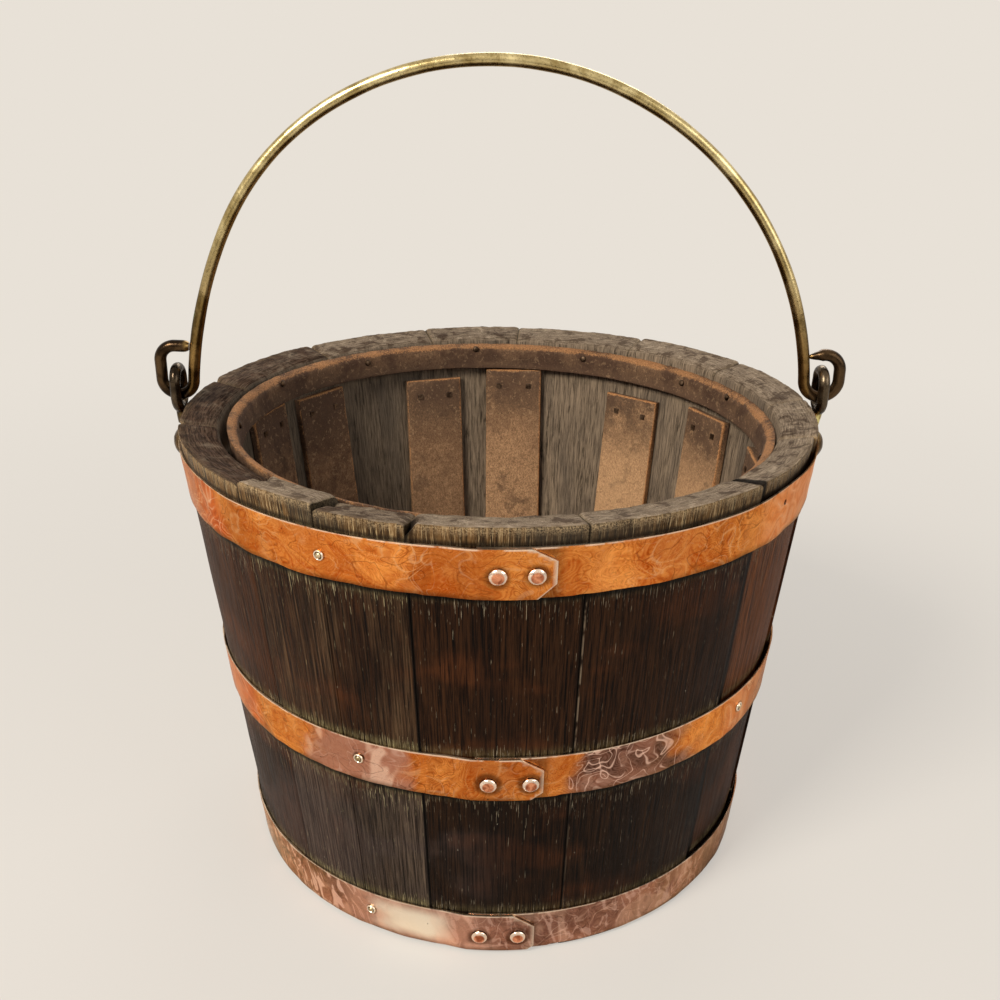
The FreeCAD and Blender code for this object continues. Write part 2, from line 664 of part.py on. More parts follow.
def make_ear(label, side, offset):
    """One ear: the eye, its neck and the leaf plate bored for its nail."""
    eye, eye_foot = make_eye(mm("rim_radius") + offset)
    bar = mm("ear_bar_radius")
    seat = ear_plate_seat(0)
    leaf = plate_outline(mm("ear_plate_radius"), bar, mm("ear_plate_reach"))
    plate = placed(leaf.extrude(Vector(mm("ear_plate_thickness"), 0, 0)), seat)
    neck_foot = seat.multVec(Vector(bar, 0, mm("ear_plate_reach")))
    neck_line = eye_foot - neck_foot
    neck = Part.makeCylinder(bar, neck_line.Length, neck_foot, neck_line)
    ear = eye.fuse([plate, neck, Part.makeSphere(bar, neck_foot)])
    bore = Part.makeCylinder(mm("ear_rivet_shank_radius") + mm("rivet_clearance"),
                             mm("ear_plate_thickness") + 2 * mm("cut_overrun"),
                             Vector(-mm("cut_overrun"), 0, 0), Vector(1, 0, 0))
    ear = ear.cut(placed(bore, seat))
    ear.rotate(Vector(), Vector(0, 0, 1), side)
    return add_feature(label, ear)


def make_ear_rivet(label, side):
    """The large domed nail through an ear's plate and the hoop into the stave."""
    grip = mm("ear_plate_thickness") + mm("ear_plate_clearance") + mm("hoop_thickness")
    nail = round_nail(mm("ear_rivet_radius"), mm("ear_rivet_height"), mm("ear_rivet_flat"),
                      mm("ear_rivet_shank_radius"), grip + mm("hoop_clearance") + mm("ear_rivet_grip"))
    head = Placement(Vector(mm("ear_plate_thickness"), 0, 0), Rotation())
    return add_feature(label, placed(nail, ear_plate_seat(side).multiply(head)))


def pointing(heading):
    """Unit step in the bail's plane along a heading in degrees, from +X towards +Z."""
    return Vector(math.cos(math.radians(heading)), 0, math.sin(math.radians(heading)))


def bend(edges, place, heading, radius, turn):
    """Add an arc that leaves a place along a heading; a turn over zero curves to the left."""
    side = math.copysign(90, turn)
    centre = place + pointing(heading + side) * radius
    middle = centre + pointing(heading - side + turn / 2) * radius
    end = centre + pointing(heading - side + turn) * radius
    edges.append(Part.Arc(place, middle, end).toShape())
    return end, heading + turn


def run(edges, place, heading, length):
    """Add a straight run along a heading."""
    end = place + pointing(heading) * length
    edges.append(Part.makeLine(place, end))
    return end, heading


def hook_route(edges, plane, side, down, curl_turn, sizes):
    """One end of the bail, from the foot of its leg through the eye and over, to its tip."""
    radius, rise, curl_radius, curl_run = sizes
    centre = Vector(plane, 0, bail_axis_height() + radius)
    start = centre - pointing(down + side * 90) * radius
    turn = side * 180 - (down - DOWN_ANGLE)
    place, heading = bend(edges, start, down, radius, turn)
    place, heading = run(edges, place, heading, rise)
    place, heading = bend(edges, place, heading, curl_radius, side * curl_turn)
    place, heading = run(edges, place, heading, curl_run)
    return start, place, heading


def bail_steps():
    """Steps of the bail's bends for a common radius of one, and the heading they end on."""
    edges = []
    heading = UP_ANGLE + BAIL_LEAN_ANGLE
    place = Vector()
    for share, turn in zip(BAIL_BEND_SHARES, BAIL_TURN_ANGLES):
        place, heading = bend(edges, place, heading, share, turn)
    return place, heading


def make_bail():
    """The brass bail: a rod bent over the bucket, with both ends hooked through the ears."""
    rod = mm("bail_rod_radius")
    right = [mm("right_hook_radius"), mm("right_hook_rise"), mm("right_curl_radius"), mm("right_curl_run")]
    left = [mm("left_hook_radius"), mm("left_hook_rise"), mm("left_curl_radius"), mm("left_curl_run")]
    right_plane = mm("rim_radius") + mm("right_ear_offset")
    left_plane = -mm("rim_radius") - mm("left_ear_offset")
    reach, down = bail_steps()
    right_edges, left_edges, edges = [], [], []
    right_leg, right_tip, right_heading = hook_route(
        right_edges, right_plane, 1, DOWN_ANGLE + BAIL_LEAN_ANGLE, RIGHT_CURL_ANGLE, right)
    left_leg, left_tip, left_heading = hook_route(left_edges, left_plane, -1, down, LEFT_CURL_ANGLE, left)

    # The common radius and the last straight run bring the bail down on its left leg
    gap = left_leg - right_leg
    last = pointing(down)
    across = reach.x * last.z - reach.z * last.x
    common = (gap.x * last.z - gap.z * last.x) / across
    straight = (reach.x * gap.z - reach.z * gap.x) / across
    place, heading = right_leg, UP_ANGLE + BAIL_LEAN_ANGLE
    for share, turn in zip(BAIL_BEND_SHARES, BAIL_TURN_ANGLES):
        place, heading = bend(edges, place, heading, share * common, turn)
    run(edges, place, heading, straight)

    route = Part.Wire(Part.sortEdges(right_edges + edges + left_edges)[0])
    section = Part.Wire(Part.makeCircle(rod, right_tip, pointing(right_heading)))
    bail = route.makePipeShell([section], True, False)
    print("bail common radius %.1f, last run %.1f, length %.0f, volume share %.4f"
          % (common, straight, route.Length, bail.Volume / (route.Length * math.pi * rod ** 2)))
    tips = []
    for side, place, heading in (("right", right_tip, right_heading), ("left", left_tip, left_heading)):
        length, end = mm(side + "_tip_length"), mm(side + "_tip_radius")
        tips.append(Part.makeCone(rod, end, length, place, pointing(heading)))
        tips.append(Part.makeSphere(end, place + pointing(heading) * length))
    return add_feature("bail_handle", bail.fuse(tips))


def make_all():
    """Build every piece in turn and return the pieces that are written out."""
    fill_sheet()
    pieces = [make_stave(index) for index in range(len(STAVE_JOINT_ANGLES))]
    pieces += make_base()
    pieces += [make_batten(index) for index in range(len(BATTEN_ANGLES))]
    pieces += [make_batten_nails(), make_ring(), make_ring_nails()]
    for name in HOOPS:
        pieces += [make_hoop(name), make_rivets(name), make_tacks(name)]
    for side, angle in (("right", 0), ("left", 180)):
        pieces.append(make_ear("ear_" + side, angle, mm(side + "_ear_offset")))
        pieces.append(make_ear_rivet("ear_rivet_" + side, angle))
    pieces.append(make_bail())
    return pieces


def check_pieces(pieces):
    """Stop unless every object came out whole."""
    for item in doc.Objects:
        if "Invalid" in item.State or "Error" in item.State:
            raise RuntimeError("%s failed: %s" % (item.Label, item.State))
    for piece in pieces:
        if piece.Shape.isNull() or not piece.Shape.isValid() or not piece.Shape.Solids:
            raise RuntimeError("%s has no valid solid" % piece.Label)


def write_pieces(pieces):
    """Write each piece to its own file."""
    os.makedirs("parts", exist_ok=True)
    for piece in pieces:
        piece.Shape.exportStep(os.path.join("parts", piece.Label + ".step"))
        print("%-22s %2d solids %9.0f mm3" % (piece.Label, len(piece.Shape.Solids), piece.Shape.Volume))


PIECES = make_all()
doc.recompute()
check_pieces(PIECES)
write_pieces(PIECES)
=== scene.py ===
import math

import bmesh
import bpy
from mathutils import Matrix, Vector


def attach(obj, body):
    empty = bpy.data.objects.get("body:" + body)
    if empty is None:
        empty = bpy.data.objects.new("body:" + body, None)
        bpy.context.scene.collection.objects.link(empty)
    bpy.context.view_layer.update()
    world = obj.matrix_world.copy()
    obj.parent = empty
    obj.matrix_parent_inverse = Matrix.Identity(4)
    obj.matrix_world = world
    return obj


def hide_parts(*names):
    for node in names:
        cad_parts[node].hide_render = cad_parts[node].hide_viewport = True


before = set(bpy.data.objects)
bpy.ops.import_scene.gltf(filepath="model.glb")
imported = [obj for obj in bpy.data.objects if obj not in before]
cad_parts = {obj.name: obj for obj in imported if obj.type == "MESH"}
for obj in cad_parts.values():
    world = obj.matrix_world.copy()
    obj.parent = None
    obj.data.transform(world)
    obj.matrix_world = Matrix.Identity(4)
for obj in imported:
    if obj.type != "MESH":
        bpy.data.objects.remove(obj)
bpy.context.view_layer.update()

# Sizes in metres and angles in degrees, counted from +X towards +Y; the front is at -Y, 270 degrees
RIM_RADIUS, FOOT_RADIUS, HEIGHT, WALL = 0.190, 0.159, 0.2795, 0.022
SLOPE = (RIM_RADIUS - FOOT_RADIUS) / HEIGHT
LEAN = math.atan(SLOPE)
HINGE_HEIGHT = 0.28365
WRAP_RADIUS = 0.175
FITTED = 0.0005

# The camera fitted to the photograph: where it stands, how it is turned, tilted and rolled, its lens
EYE, PAN, TILT, ROLL, LENS = (0.0, -0.66363, 0.49102), -0.09, 67.37, 0.29, 40.868
BACKDROP = (232, 225, 215)

# Each stave: its first joint, its rise and set-back in mm, how grey, red and old it is, and how
# rubbed its first joint is
STAVES = [
    (3.0, -0.32, 0.0, 0.35, 0.5, 0.35, 0.3), (29.2, 0.0, 0.0, 0.3, 0.4, 0.3, 0.2),
    (56.0, -0.64, 0.4, 0.2, 0.3, 0.15, 0.4), (85.4, 0.0, 0.0, 0.35, 0.4, 0.5, 0.1),
    (107.2, -0.48, 0.6, 0.2, 0.5, 0.45, 0.2), (135.9, 0.0, 0.0, 0.3, 0.3, 0.75, 0.5),
    (166.0, -0.32, 0.4, 0.3, 0.5, 0.8, 0.7), (191.8, 0.0, 0.0, 0.24, 0.22, 0.85, 1.0),
    (226.4, 3.2, 0.0, 0.56, 0.10, 0.25, 0.6), (242.0, -0.32, 0.2, 0.46, 0.08, 0.55, 0.2),
    (256.7, 0.32, 0.4, 0.08, 0.08, 0.35, 0.4), (283.0, 0.64, 0.0, 0.06, 0.08, 0.3, 0.1),
    (314.7, -0.64, 2.0, 0.32, 0.85, 0.35, 0.3), (342.0, 0.0, 0.4, 0.3, 0.5, 0.4, 0.3),
]
JOINTS = [stave[0] for stave in STAVES]
JOINT_WEAR = {stave[0]: stave[6] for stave in STAVES}
TALL_STAVE, GREY_STAVE, NOTCHED_STAVE, RED_STAVE, RIGHT_STAVE = 8, 9, 10, 12, 13

# Chips in the rim beside a stave's first joint: how many degrees wide, from which radius to which, how deep
CHIPS = {TALL_STAVE: (3.2, 0.1705, 0.1815, 0.0042), GREY_STAVE: (2.4, 0.1705, 0.1795, 0.0032),
         NOTCHED_STAVE: (1.7, 0.1790, 0.1960, 0.0055)}

# Joints that show dark: angle, half width, strength, and the heights between which a pale edge, rubbed wood
# with a painted highlight, fades in
DARK_JOINTS = ((256.7, 0.0010, 0.95, None), (283.0, 0.0005, 0.8, (0.100, 0.130, 0.25, 1.0)),
               (314.7, 0.0013, 0.97, (0.100, 0.092)))

# Each hoop: its lower edge; the angles at which its sheet starts, steps out, lies over its start and ends;
# its rivets and tacks, and how far off its middle they sit as a share of its width; the corners cut off
# its end; its mauve patches as angle, half width and strength; its flats as angle, half width and depth;
# and its empty nail hole as angle and share of its width
HOOPS = {
    "top": {"low": 0.2421, "inner": 267.0, "step": 262.0, "over": 266.4, "tip": 278.4,
            "rivets": (270.0, 275.5), "tacks": (242.7, 36.0, 141.0), "rivet_share": -0.02,
            "tack_share": -0.02, "top_cut": 0.25, "bottom_cut": 0.30, "bottom_run": 0.7,
            "patches": ((202.0, 8.0, 0.2),), "flats": ((324.0, 12.0, 0.0016), (212.0, 12.0, 0.0010)),
            "hole": (323.3, 0.68)},
    "middle": {"low": 0.1164, "inner": 266.2, "step": 261.4, "over": 265.6, "tip": 277.9,
               "rivets": (268.5, 275.7), "tacks": (245.1, 322.2, 41.0, 150.0), "rivet_share": -0.10,
               "tack_share": 0.05, "top_cut": 0.29, "bottom_cut": 0.17, "bottom_run": 0.5,
               "patches": ((244.0, 9.0, 0.95), (296.0, 11.0, 1.0), (205.0, 8.0, 0.2)), "flats": (),
               "hole": None},
    "bottom": {"low": 0.0024, "inner": 264.4, "step": 259.4, "over": 263.8, "tip": 277.5,
               "rivets": (266.6, 274.2), "tacks": (243.4, 33.0, 146.0), "rivet_share": -0.08,
               "tack_share": 0.03, "top_cut": 0.33, "bottom_cut": 0.10, "bottom_run": 0.3,
               "patches": ((262.0, 112.0, 0.94),), "flats": (), "hole": None},
}
HOOP_WIDTH, HOOP_THICK, HOOP_GAP, LAP_GAP = 0.0276, 0.0015, 0.0001, 0.0002
LAP_STEPS, CUT_RUN, HEAD_SUNK = 4, 0.0125, 0.0001

# Each batten: its angle, its lean, how much longer it is as a share of BATTEN_SPREAD, and its age
BATTENS = [
    (-1.5, 0.4, -0.6, 0.4), (26.0, -0.6, -0.3, 0.2), (53.4, 0.8, -0.9, 0.0), (85.6, -0.3, 0.45, 0.1),
    (108.5, 0.5, -0.25, 0.45), (140.4, -0.9, 0.4, 0.8), (162.6, 0.6, 0.7, 0.95), (191.8, 0.0, 0.3, 0.9),
    (222.0, 0.5, 0.0, 0.7), (243.0, -0.3, 0.2, 0.5), (263.0, 0.4, -0.2, 0.4), (284.5, -0.5, 0.1, 0.3),
    (312.0, 0.3, -0.4, 0.4), (336.0, -0.4, 0.0, 0.5),
]
BATTEN_WIDTH, BATTEN_THICK, BATTEN_FOOT, BATTEN_TOP, BATTEN_SPREAD = 0.041, 0.005, 0.0325, 0.250, 0.008

# The ring of the lining, where its ends meet, and its nails as angle and share of their spread in height
RING_LOW, RING_HIGH, RING_THICK, RING_SHIFT, RING_TILT = 0.2555, 0.2725, 0.0065, 0.0019, 1.05
RING_START, RING_TURN, RING_MIDDLE = 262.4, 359.2, (RING_LOW + RING_HIGH) / 2
RING_NAILS = [(19.8, 0.1), (37.3, -0.1), (67.6, 0.0), (96.9, 0.15), (127.4, -0.05), (157.0, 0.1),
              (187.0, 0.0), (217.0, -0.1), (246.0, 0.05), (277.0, 0.0), (307.0, 0.1), (341.0, -0.1)]
NAIL_RADIUS, NAIL_HEIGHT, NAIL_SPREAD = 0.0022, 0.0115, 0.017

# The base in its groove
BASE_MIDDLE, BASE_THICK, BASE_SEAM, GROOVE_DEPTH, GROOVE_GAP = 0.025, 0.014, 0.049, 0.005, 0.0002

# The ears: how far out each eye stands, its bar, its stretch upwards, and the plate that carries it
EAR_REACH = {"right": 0.1955, "left": 0.1945}
EYE_BAR, EYE_STRETCH, PLATE_HEIGHT, PLATE_GAP = 0.0035, 0.0086, 0.254, 0.0017
PLATE_RADIUS, PLATE_THICK, PLATE_NECK, NECK_BITE = 0.0125, 0.0034, 0.0142, 0.004
EAR_HEAD_RADIUS, EAR_HEAD_RISE = 0.0100, 0.84

# The bail: its rod, how far its right leg leans, and its five bends as share of a size and turn
ROD, LEAN_IN, BAIL_SIZE = 0.00375, 4.8, 0.18610
BENDS = ((1.082, 31.4), (1.066, 27.6), (0.967, 55.3), (0.862, 34.3), (1.447, 19.7))

# Its right hook from the leg to the curl as size and turn, where no turn is a straight run, and its tip
HOOK_RADIUS = 0.0105
RIGHT_HOOK = ((HOOK_RADIUS, 180 - LEAN_IN), (0.006, 0), (0.0096, 98.0), (0.0006, 0))
RIGHT_TIP, TIP_RADIUS = 0.0082, 0.0009
RIGHT_TAPER = ((0.12, 1.7), (0.30, 1.5), (0.30, 1.25), (0.28, ROD / (TIP_RADIUS * 1.7 * 1.5 * 1.25)))

# Its left hook, the same way, with the bend at the foot of the leg worked out from the leg's lean
LEFT_LEG, LEFT_RADIUS = 0.0034, 0.0095
LEFT_HOOK = ((0.0115, 0), (0.0090, -92.0), (0.0052, 0))
LEFT_TIP, LEFT_TAPER = 0.0036, ((0.45, 0.95), (0.30, 0.88), (0.25, 0.8))


# Numbers and places

def clamp(value):
    """A number kept between 0 and 1."""
    return min(1.0, max(0.0, value))


def polar(co):
    """Angle in degrees and distance from the bucket's axis."""
    return math.degrees(math.atan2(co.y, co.x)) % 360, math.hypot(co.x, co.y)


def apart(angle, other):
    """Smallest turn between two angles."""
    return abs((angle - other + 180) % 360 - 180)


def ahead(x, y, angle):
    """How far a place lies from the axis towards an angle."""
    return x * math.cos(math.radians(angle)) + y * math.sin(math.radians(angle))


def aside(x, y, angle):
    """How far a place lies, counter-clockwise, from the upright plane through the axis at an angle."""
    return y * math.cos(math.radians(angle)) - x * math.sin(math.radians(angle))


def face_radius(height):
    """Radius of the staves' outer face."""
    return FOOT_RADIUS + SLOPE * height


def leaning(angle, height, radius):
    """Matrix with +Z pointing out of the leaning wall and +Y up along it, at a radius and a height."""
    turn = Matrix.Rotation(math.radians(angle), 4, "Z")
    up = Matrix(((0, 0, 1, 0), (1, 0, 0, 0), (0, 1, 0, 0), (0, 0, 0, 1)))
    return turn @ Matrix.Translation((radius, 0, height)) @ Matrix.Rotation(LEAN, 4, "Y") @ up


def on_wall(angle, height, stand_off):
    """Matrix of a place a little off the wall's outer face, square to it."""
    radius = face_radius(height) + stand_off * math.cos(LEAN)
    return leaning(angle, height - stand_off * math.sin(LEAN), radius)


def srgb(red, green, blue):
    """A colour written as 0 to 255, as the linear colour that a socket takes."""
    parts = [value / 255 for value in (red, green, blue)]
    return tuple(p / 12.92 if p <= 0.04045 else ((p + 0.055) / 1.055) ** 2.4 for p in parts) + (1.0,)


# Nodes

class Link:
    """A socket of a node tree, with arithmetic that adds Math nodes."""

    def __init__(self, nodes, socket):
        self.nodes = nodes
        self.socket = socket

    def other(self, output):
        """Another output of the same node."""
        return Link(self.nodes, self.socket.node.outputs[output])

    def maths(self, operation, first, second=0.0):
        """A Math node on two values or links."""
        return self.nodes.node("ShaderNodeMath", {"operation": operation}, {0: first, 1: second})

    def __add__(self, value):
        return self.maths("ADD", self, value)

    __radd__ = __add__

    def __sub__(self, value):
        return self.maths("SUBTRACT", self, value)

    def __rsub__(self, value):
        return self.maths("SUBTRACT", value, self)

    def __mul__(self, value):
        return self.maths("MULTIPLY", self, value)

    __rmul__ = __mul__

    def __truediv__(self, value):
        return self.maths("DIVIDE", self, value)

    def __pow__(self, value):
        return self.maths("POWER", self, value)

    def __abs__(self):
        return self.maths("ABSOLUTE", self)


class Nodes:
    """A node tree that nodes are added to."""

    def __init__(self, tree):
        self.tree = tree

    def node(self, kind, settings=None, inputs=None, output=0):
        """Add a node: its settings first, then the values or links of its sockets."""
        item = self.tree.nodes.new(kind)
        for name, value in (settings or {}).items():
            setattr(item, name, value)
        for key, value in (inputs or {}).items():
            self.feed(item.inputs[key], value)
        return Link(self, item.outputs[output])

    def feed(self, socket, value):
        """Give a socket its value or its link."""
        if isinstance(value, Link):
            self.tree.links.new(value.socket, socket)
        else:
            socket.default_value = value


class Finish(Nodes):
    """One material, built from nodes."""

    def __init__(self, name):
        self.material = bpy.data.materials.new(name)
        self.material.use_nodes = True
        super().__init__(self.material.node_tree)
        self.shader = self.tree.nodes["Principled BSDF"]

    def place(self):
        """Object coordinates as three numbers."""
        split = self.node("ShaderNodeSeparateXYZ", None,
                          {0: self.node("ShaderNodeTexCoord", output="Object")})
        return split, split.other(1), split.other(2)

    def spot(self, x, y, z):
        """Three numbers as a vector."""
        return self.node("ShaderNodeCombineXYZ", None, {0: x, 1: y, 2: z})

    def noise(self, spot, scale, detail, rough=0.5, warp=0.0):
        """Smooth noise about 0.5."""
        return self.node("ShaderNodeTexNoise", None, {"Vector": spot, "Scale": scale, "Detail": detail,
                                                      "Roughness": rough, "Distortion": warp})

    def cells(self, spot, scale):
        """Distance to the nearest of many scattered points."""
        return self.node("ShaderNodeTexVoronoi", None, {"Vector": spot, "Scale": scale}, "Distance")

    def band(self, value, low, high, start=0.0, end=1.0):
        """A soft step of a value from low to high."""
        return self.node("ShaderNodeMapRange", {"interpolation_type": "SMOOTHSTEP"},
                         {0: value, 1: low, 2: high, 3: start, 4: end})

    def strip(self, value, start, low, high, end):
        """1 from low to high, and softly down to 0 at start and end."""
        return self.band(value, start, low) * self.band(value, end, high)

    def mix(self, share, first, second):
        """Blend two colours, each a link or three numbers from 0 to 255."""
        first, second = (item if isinstance(item, Link) else srgb(*item) for item in (first, second))
        return self.node("ShaderNodeMix", {"data_type": "RGBA", "clamp_factor": True},
                         {0: share, 6: first, 7: second}, 2)

    def layers(self, colour, *coats):
        """Lay coats over a colour in turn, each a share and a colour."""
        for share, coat in coats:
            colour = self.mix(share, colour, coat)
        return colour

    def bump(self, height, distance, strength):
        """A normal raised by a height."""
        return self.node("ShaderNodeBump", None,
                         {"Height": height, "Distance": distance, "Strength": strength})

    def mark(self, name):
        """A number painted on the mesh."""
        return self.node("ShaderNodeAttribute", {"attribute_name": name}, output="Fac")

    def upright(self):
        """How far a face looks up, from -1 to 1."""
        normal = self.node("ShaderNodeNewGeometry", output="True Normal")
        return self.node("ShaderNodeSeparateXYZ", None, {0: normal}, 2)

    def done(self, colour, roughness, metallic=0.0, normal=None, specular=0.5, tint=(1.0, 1.0, 1.0, 1.0)):
        """Link what varies into the shader and set what is the same all over."""
        for name, value in (("Base Color", colour), ("Roughness", roughness), ("Metallic", metallic),
                            ("Specular IOR Level", specular), ("Specular Tint", tint)):
            self.feed(self.shader.inputs[name], value)
        if normal:
            self.feed(self.shader.inputs["Normal"], normal)
        return self.material


class WallFinish(Finish):
    """A finish of the bucket's wall, with patterns that are wrapped round it."""

    def __init__(self, name, shift=0.0):
        super().__init__(name)
        self.x, self.y, self.z = self.place()
        self.radius = (self.x * self.x + self.y * self.y) ** 0.5
        self.across = self.x / self.radius * WRAP_RADIUS + shift
        self.along = self.y / self.radius * WRAP_RADIUS

    def drawn(self, stretch, scale, detail, rough=0.5, warp=0.0):
        """Noise drawn out up the wall, the more so the smaller the stretch."""
        return self.noise(self.spot(self.across, self.along, self.z * stretch), scale, detail, rough, warp)

    def facing(self, angle):
        """How squarely a place faces an angle, 1 at it and 0 a quarter turn away."""
        return ahead(self.x, self.y, angle) / self.radius


# Finishes

class OakFinish(WallFinish):
    """Dark stained oak: waxed outside, weathered end grain on the rim, bare and grey inside."""

    def __init__(self):
        super().__init__("stave_oak")
        self.tone, self.age = self.mark("tone"), self.mark("age")
        self.fine = self.drawn(0.028, 1050, 6, 0.75)
        self.streak = self.drawn(0.035, 460, 5, 0.65)
        self.fleck = self.drawn(0.036, 2500, 2, 0.6)
        self.rough = self.drawn(0.07, 900, 6, 0.72)
        self.torn = self.drawn(0.14, 260, 6, 0.72, 0.2)
        self.broad = self.drawn(0.25, 38, 3)
        self.scratch = self.drawn(0.5, 240, 2)
        self.patch = self.drawn(0.6, 16, 3)
        self.glow = self.noise(self.spot(self.across * 0.7, self.along * 0.7, self.z * 1.3), 17, 3, 0.55)
        along_rim = self.spot(self.across * 0.07, self.along * 0.07, self.radius + self.z * 0.6)
        self.rings = self.noise(along_rim, 1250, 5, 0.75, 0.2)
        self.pores = self.noise(self.spot(self.x, self.y, self.z), 1100, 5, 0.8)
        self.lumps = self.noise(self.spot(self.x, self.y, self.z), 110, 4, 0.6, 0.5)

    def waxed(self):
        """Near-black brown with fine upright grain, lighter and greyer where it is worn."""
        band, fine, glow, z = self.band, self.fine, self.glow, self.z
        brown = self.layers(
            self.mix(band(fine, 0.38, 0.66), (4, 2, 1), (44, 27, 14)),
            (band(self.streak, 0.50, 0.72) * 0.5, (52, 33, 18)),
            (band(glow, 0.50, 0.64) * band(fine, 0.30, 0.60) * 0.55, (80, 43, 21)),
            (band(self.broad, 0.46, 0.62) * 0.55, (10, 7, 5)),
            (self.mark("red") * band(fine, 0.34, 0.64) * band(z, 0.105, 0.135, 0.15, 1.0), (120, 68, 34)))
        low_left = band(z, 0.120, 0.105) * band(self.x, 0.02, -0.05)
        grey = self.layers(
            self.mix(band(fine, 0.38, 0.64), (42, 30, 20), (116, 92, 66)),
            (band(glow, 0.44, 0.60) * 0.45, (52, 34, 22)),
            (low_left * 0.55, self.mix(band(fine, 0.38, 0.64), (26, 22, 22), (84, 77, 72))))
        wear_and_highlight = self.tone + low_left * 0.22 + (self.patch - 0.5) * 0.5 + (self.streak - 0.5) * 0.8
        return self.layers(
            brown,
            (band(wear_and_highlight, 0.42, 0.95) * 0.85, grey),
            (low_left * band(glow, 0.42, 0.58) * band(z, 0.105, 0.085) * 0.5,
             self.mix(band(fine, 0.35, 0.68), (38, 30, 28), (76, 64, 58))))

    def hoop_dirt_and_shadow(self, colour):
        """Grease, olive dirt and pale fibres in short bands beside each hoop, and a painted shadow just under
        each hoop's lower edge.
        """
        band, strip, z = self.band, self.strip, self.z
        hidden = 0.001
        near = close = shadow = 0.0
        for hoop in HOOPS.values():
            low, high = hoop["low"], hoop["low"] + HOOP_WIDTH
            near = near + strip(z, low - 0.026, low, low, low + hidden)
            near = near + strip(z, high - hidden, high, high, high + 0.012)
            close = close + strip(z, low - 0.007, low, low, low + hidden)
            close = close + strip(z, high - hidden, high, high, high + 0.007)
            # painted shadow: a near-black strip just under each hoop's lower edge
            shadow = shadow + strip(z, low - 0.0050, low - 0.0018, low, low + hidden)
        self.pale = band(self.fleck + near * (0.085 + self.tone * 0.07), 0.704, 0.752)
        specks = band(self.cells(self.spot(self.across, self.along, z * 0.6), 260), 0.07, 0.04)
        return self.layers(
            colour,
            (close * band(self.fine, 0.40, 0.60) * (0.38 + self.tone * 0.9), (92, 83, 55)),
            (self.pale * 0.5, self.mix(self.tone, (186, 170, 142), (178, 166, 112))),
            (shadow * 0.85, (6, 4, 2)),
            (specks * band(self.scratch, 0.60, 0.66) * 0.7, (196, 184, 160)))

    def joints(self, colour):
        """A dark line at the joints in front, and here and there a pale edge beside it: rubbed wood with a
        painted highlight.
        """
        band = self.band
        for angle, half, strength, pale_heights in DARK_JOINTS:
            off = aside(self.x, self.y, angle)
            here = band(ahead(self.x, self.y, angle), 0.0, 0.05)
            line = band(abs(off + (self.streak - 0.5) * 0.0006), half, half * 0.5)
            colour = self.mix(line * here * strength, colour, (5, 3, 2))
            if pale_heights:
                # painted highlight with wear: a pale edge beside the dark joint line
                rubbed = self.strip(off, half * 0.4, half * 0.8, half + 0.0004, half + 0.0009) * here
                rubbed = rubbed * band(self.z, *pale_heights) * band(self.scratch, 0.40, 0.56)
                colour = self.mix(rubbed * 0.55, colour, (160, 138, 112))
        return colour

    def bare_band(self, colour):
        """Browner bare wood above the top hoop, black where it meets the copper."""
        band, edge = self.band, HOOPS["top"]["low"] + HOOP_WIDTH
        bare = self.layers(
            self.mix(band(self.streak, 0.36, 0.68), (36, 25, 15), (108, 80, 48)),
            (band(self.fleck, 0.56, 0.66) * 0.7, (188, 160, 116)),
            (band(self.patch, 0.50, 0.58) * 0.7, (52, 46, 38)),
            (band(self.z, edge + 0.0035, edge + 0.0008) * 0.85, (16, 11, 8)))
        return self.mix(band(self.z, edge - 0.0012, edge + 0.0008) * 0.9, colour, bare)

    def inside(self):
        """Rough grey-brown with torn grain, and painted shade towards the left."""
        band = self.band
        return self.layers(
            self.mix(band(self.rough, 0.30, 0.70), (72, 61, 49), (150, 129, 105)),
            (band(self.broad, 0.45, 0.7) * 0.55, (82, 72, 62)),
            (band(self.torn, 0.57, 0.66) * 0.75, (42, 36, 28)),
            (band(self.torn, 0.36, 0.30) * 0.4, (182, 162, 132)),
            # painted shade: the inside darker towards the left
            (band(self.x, 0.04, -0.12) * 0.45, (62, 54, 44)))

    def end_grain(self):
        """End grain with lines along the rim, dark with age on some staves."""
        band, rings, pores, lumps = self.band, self.rings, self.pores, self.lumps
        old = self.mix(band(rings, 0.32, 0.62), (92, 70, 54), (32, 21, 14))
        return self.layers(
            self.mix(band(rings, 0.34, 0.68), (156, 136, 112), (80, 64, 50)),
            (band(pores, 0.53, 0.65) * 0.65, (44, 34, 27)),
            (band(pores, 0.43, 0.35) * 0.55, (200, 184, 160)),
            (band(lumps, 0.50, 0.62) * 0.75, (72, 56, 43)),
            (band(lumps, 0.40, 0.32) * 0.5, (176, 156, 130)),
            (band(self.age + (lumps - 0.5) * 0.9, 0.3, 0.9), old))

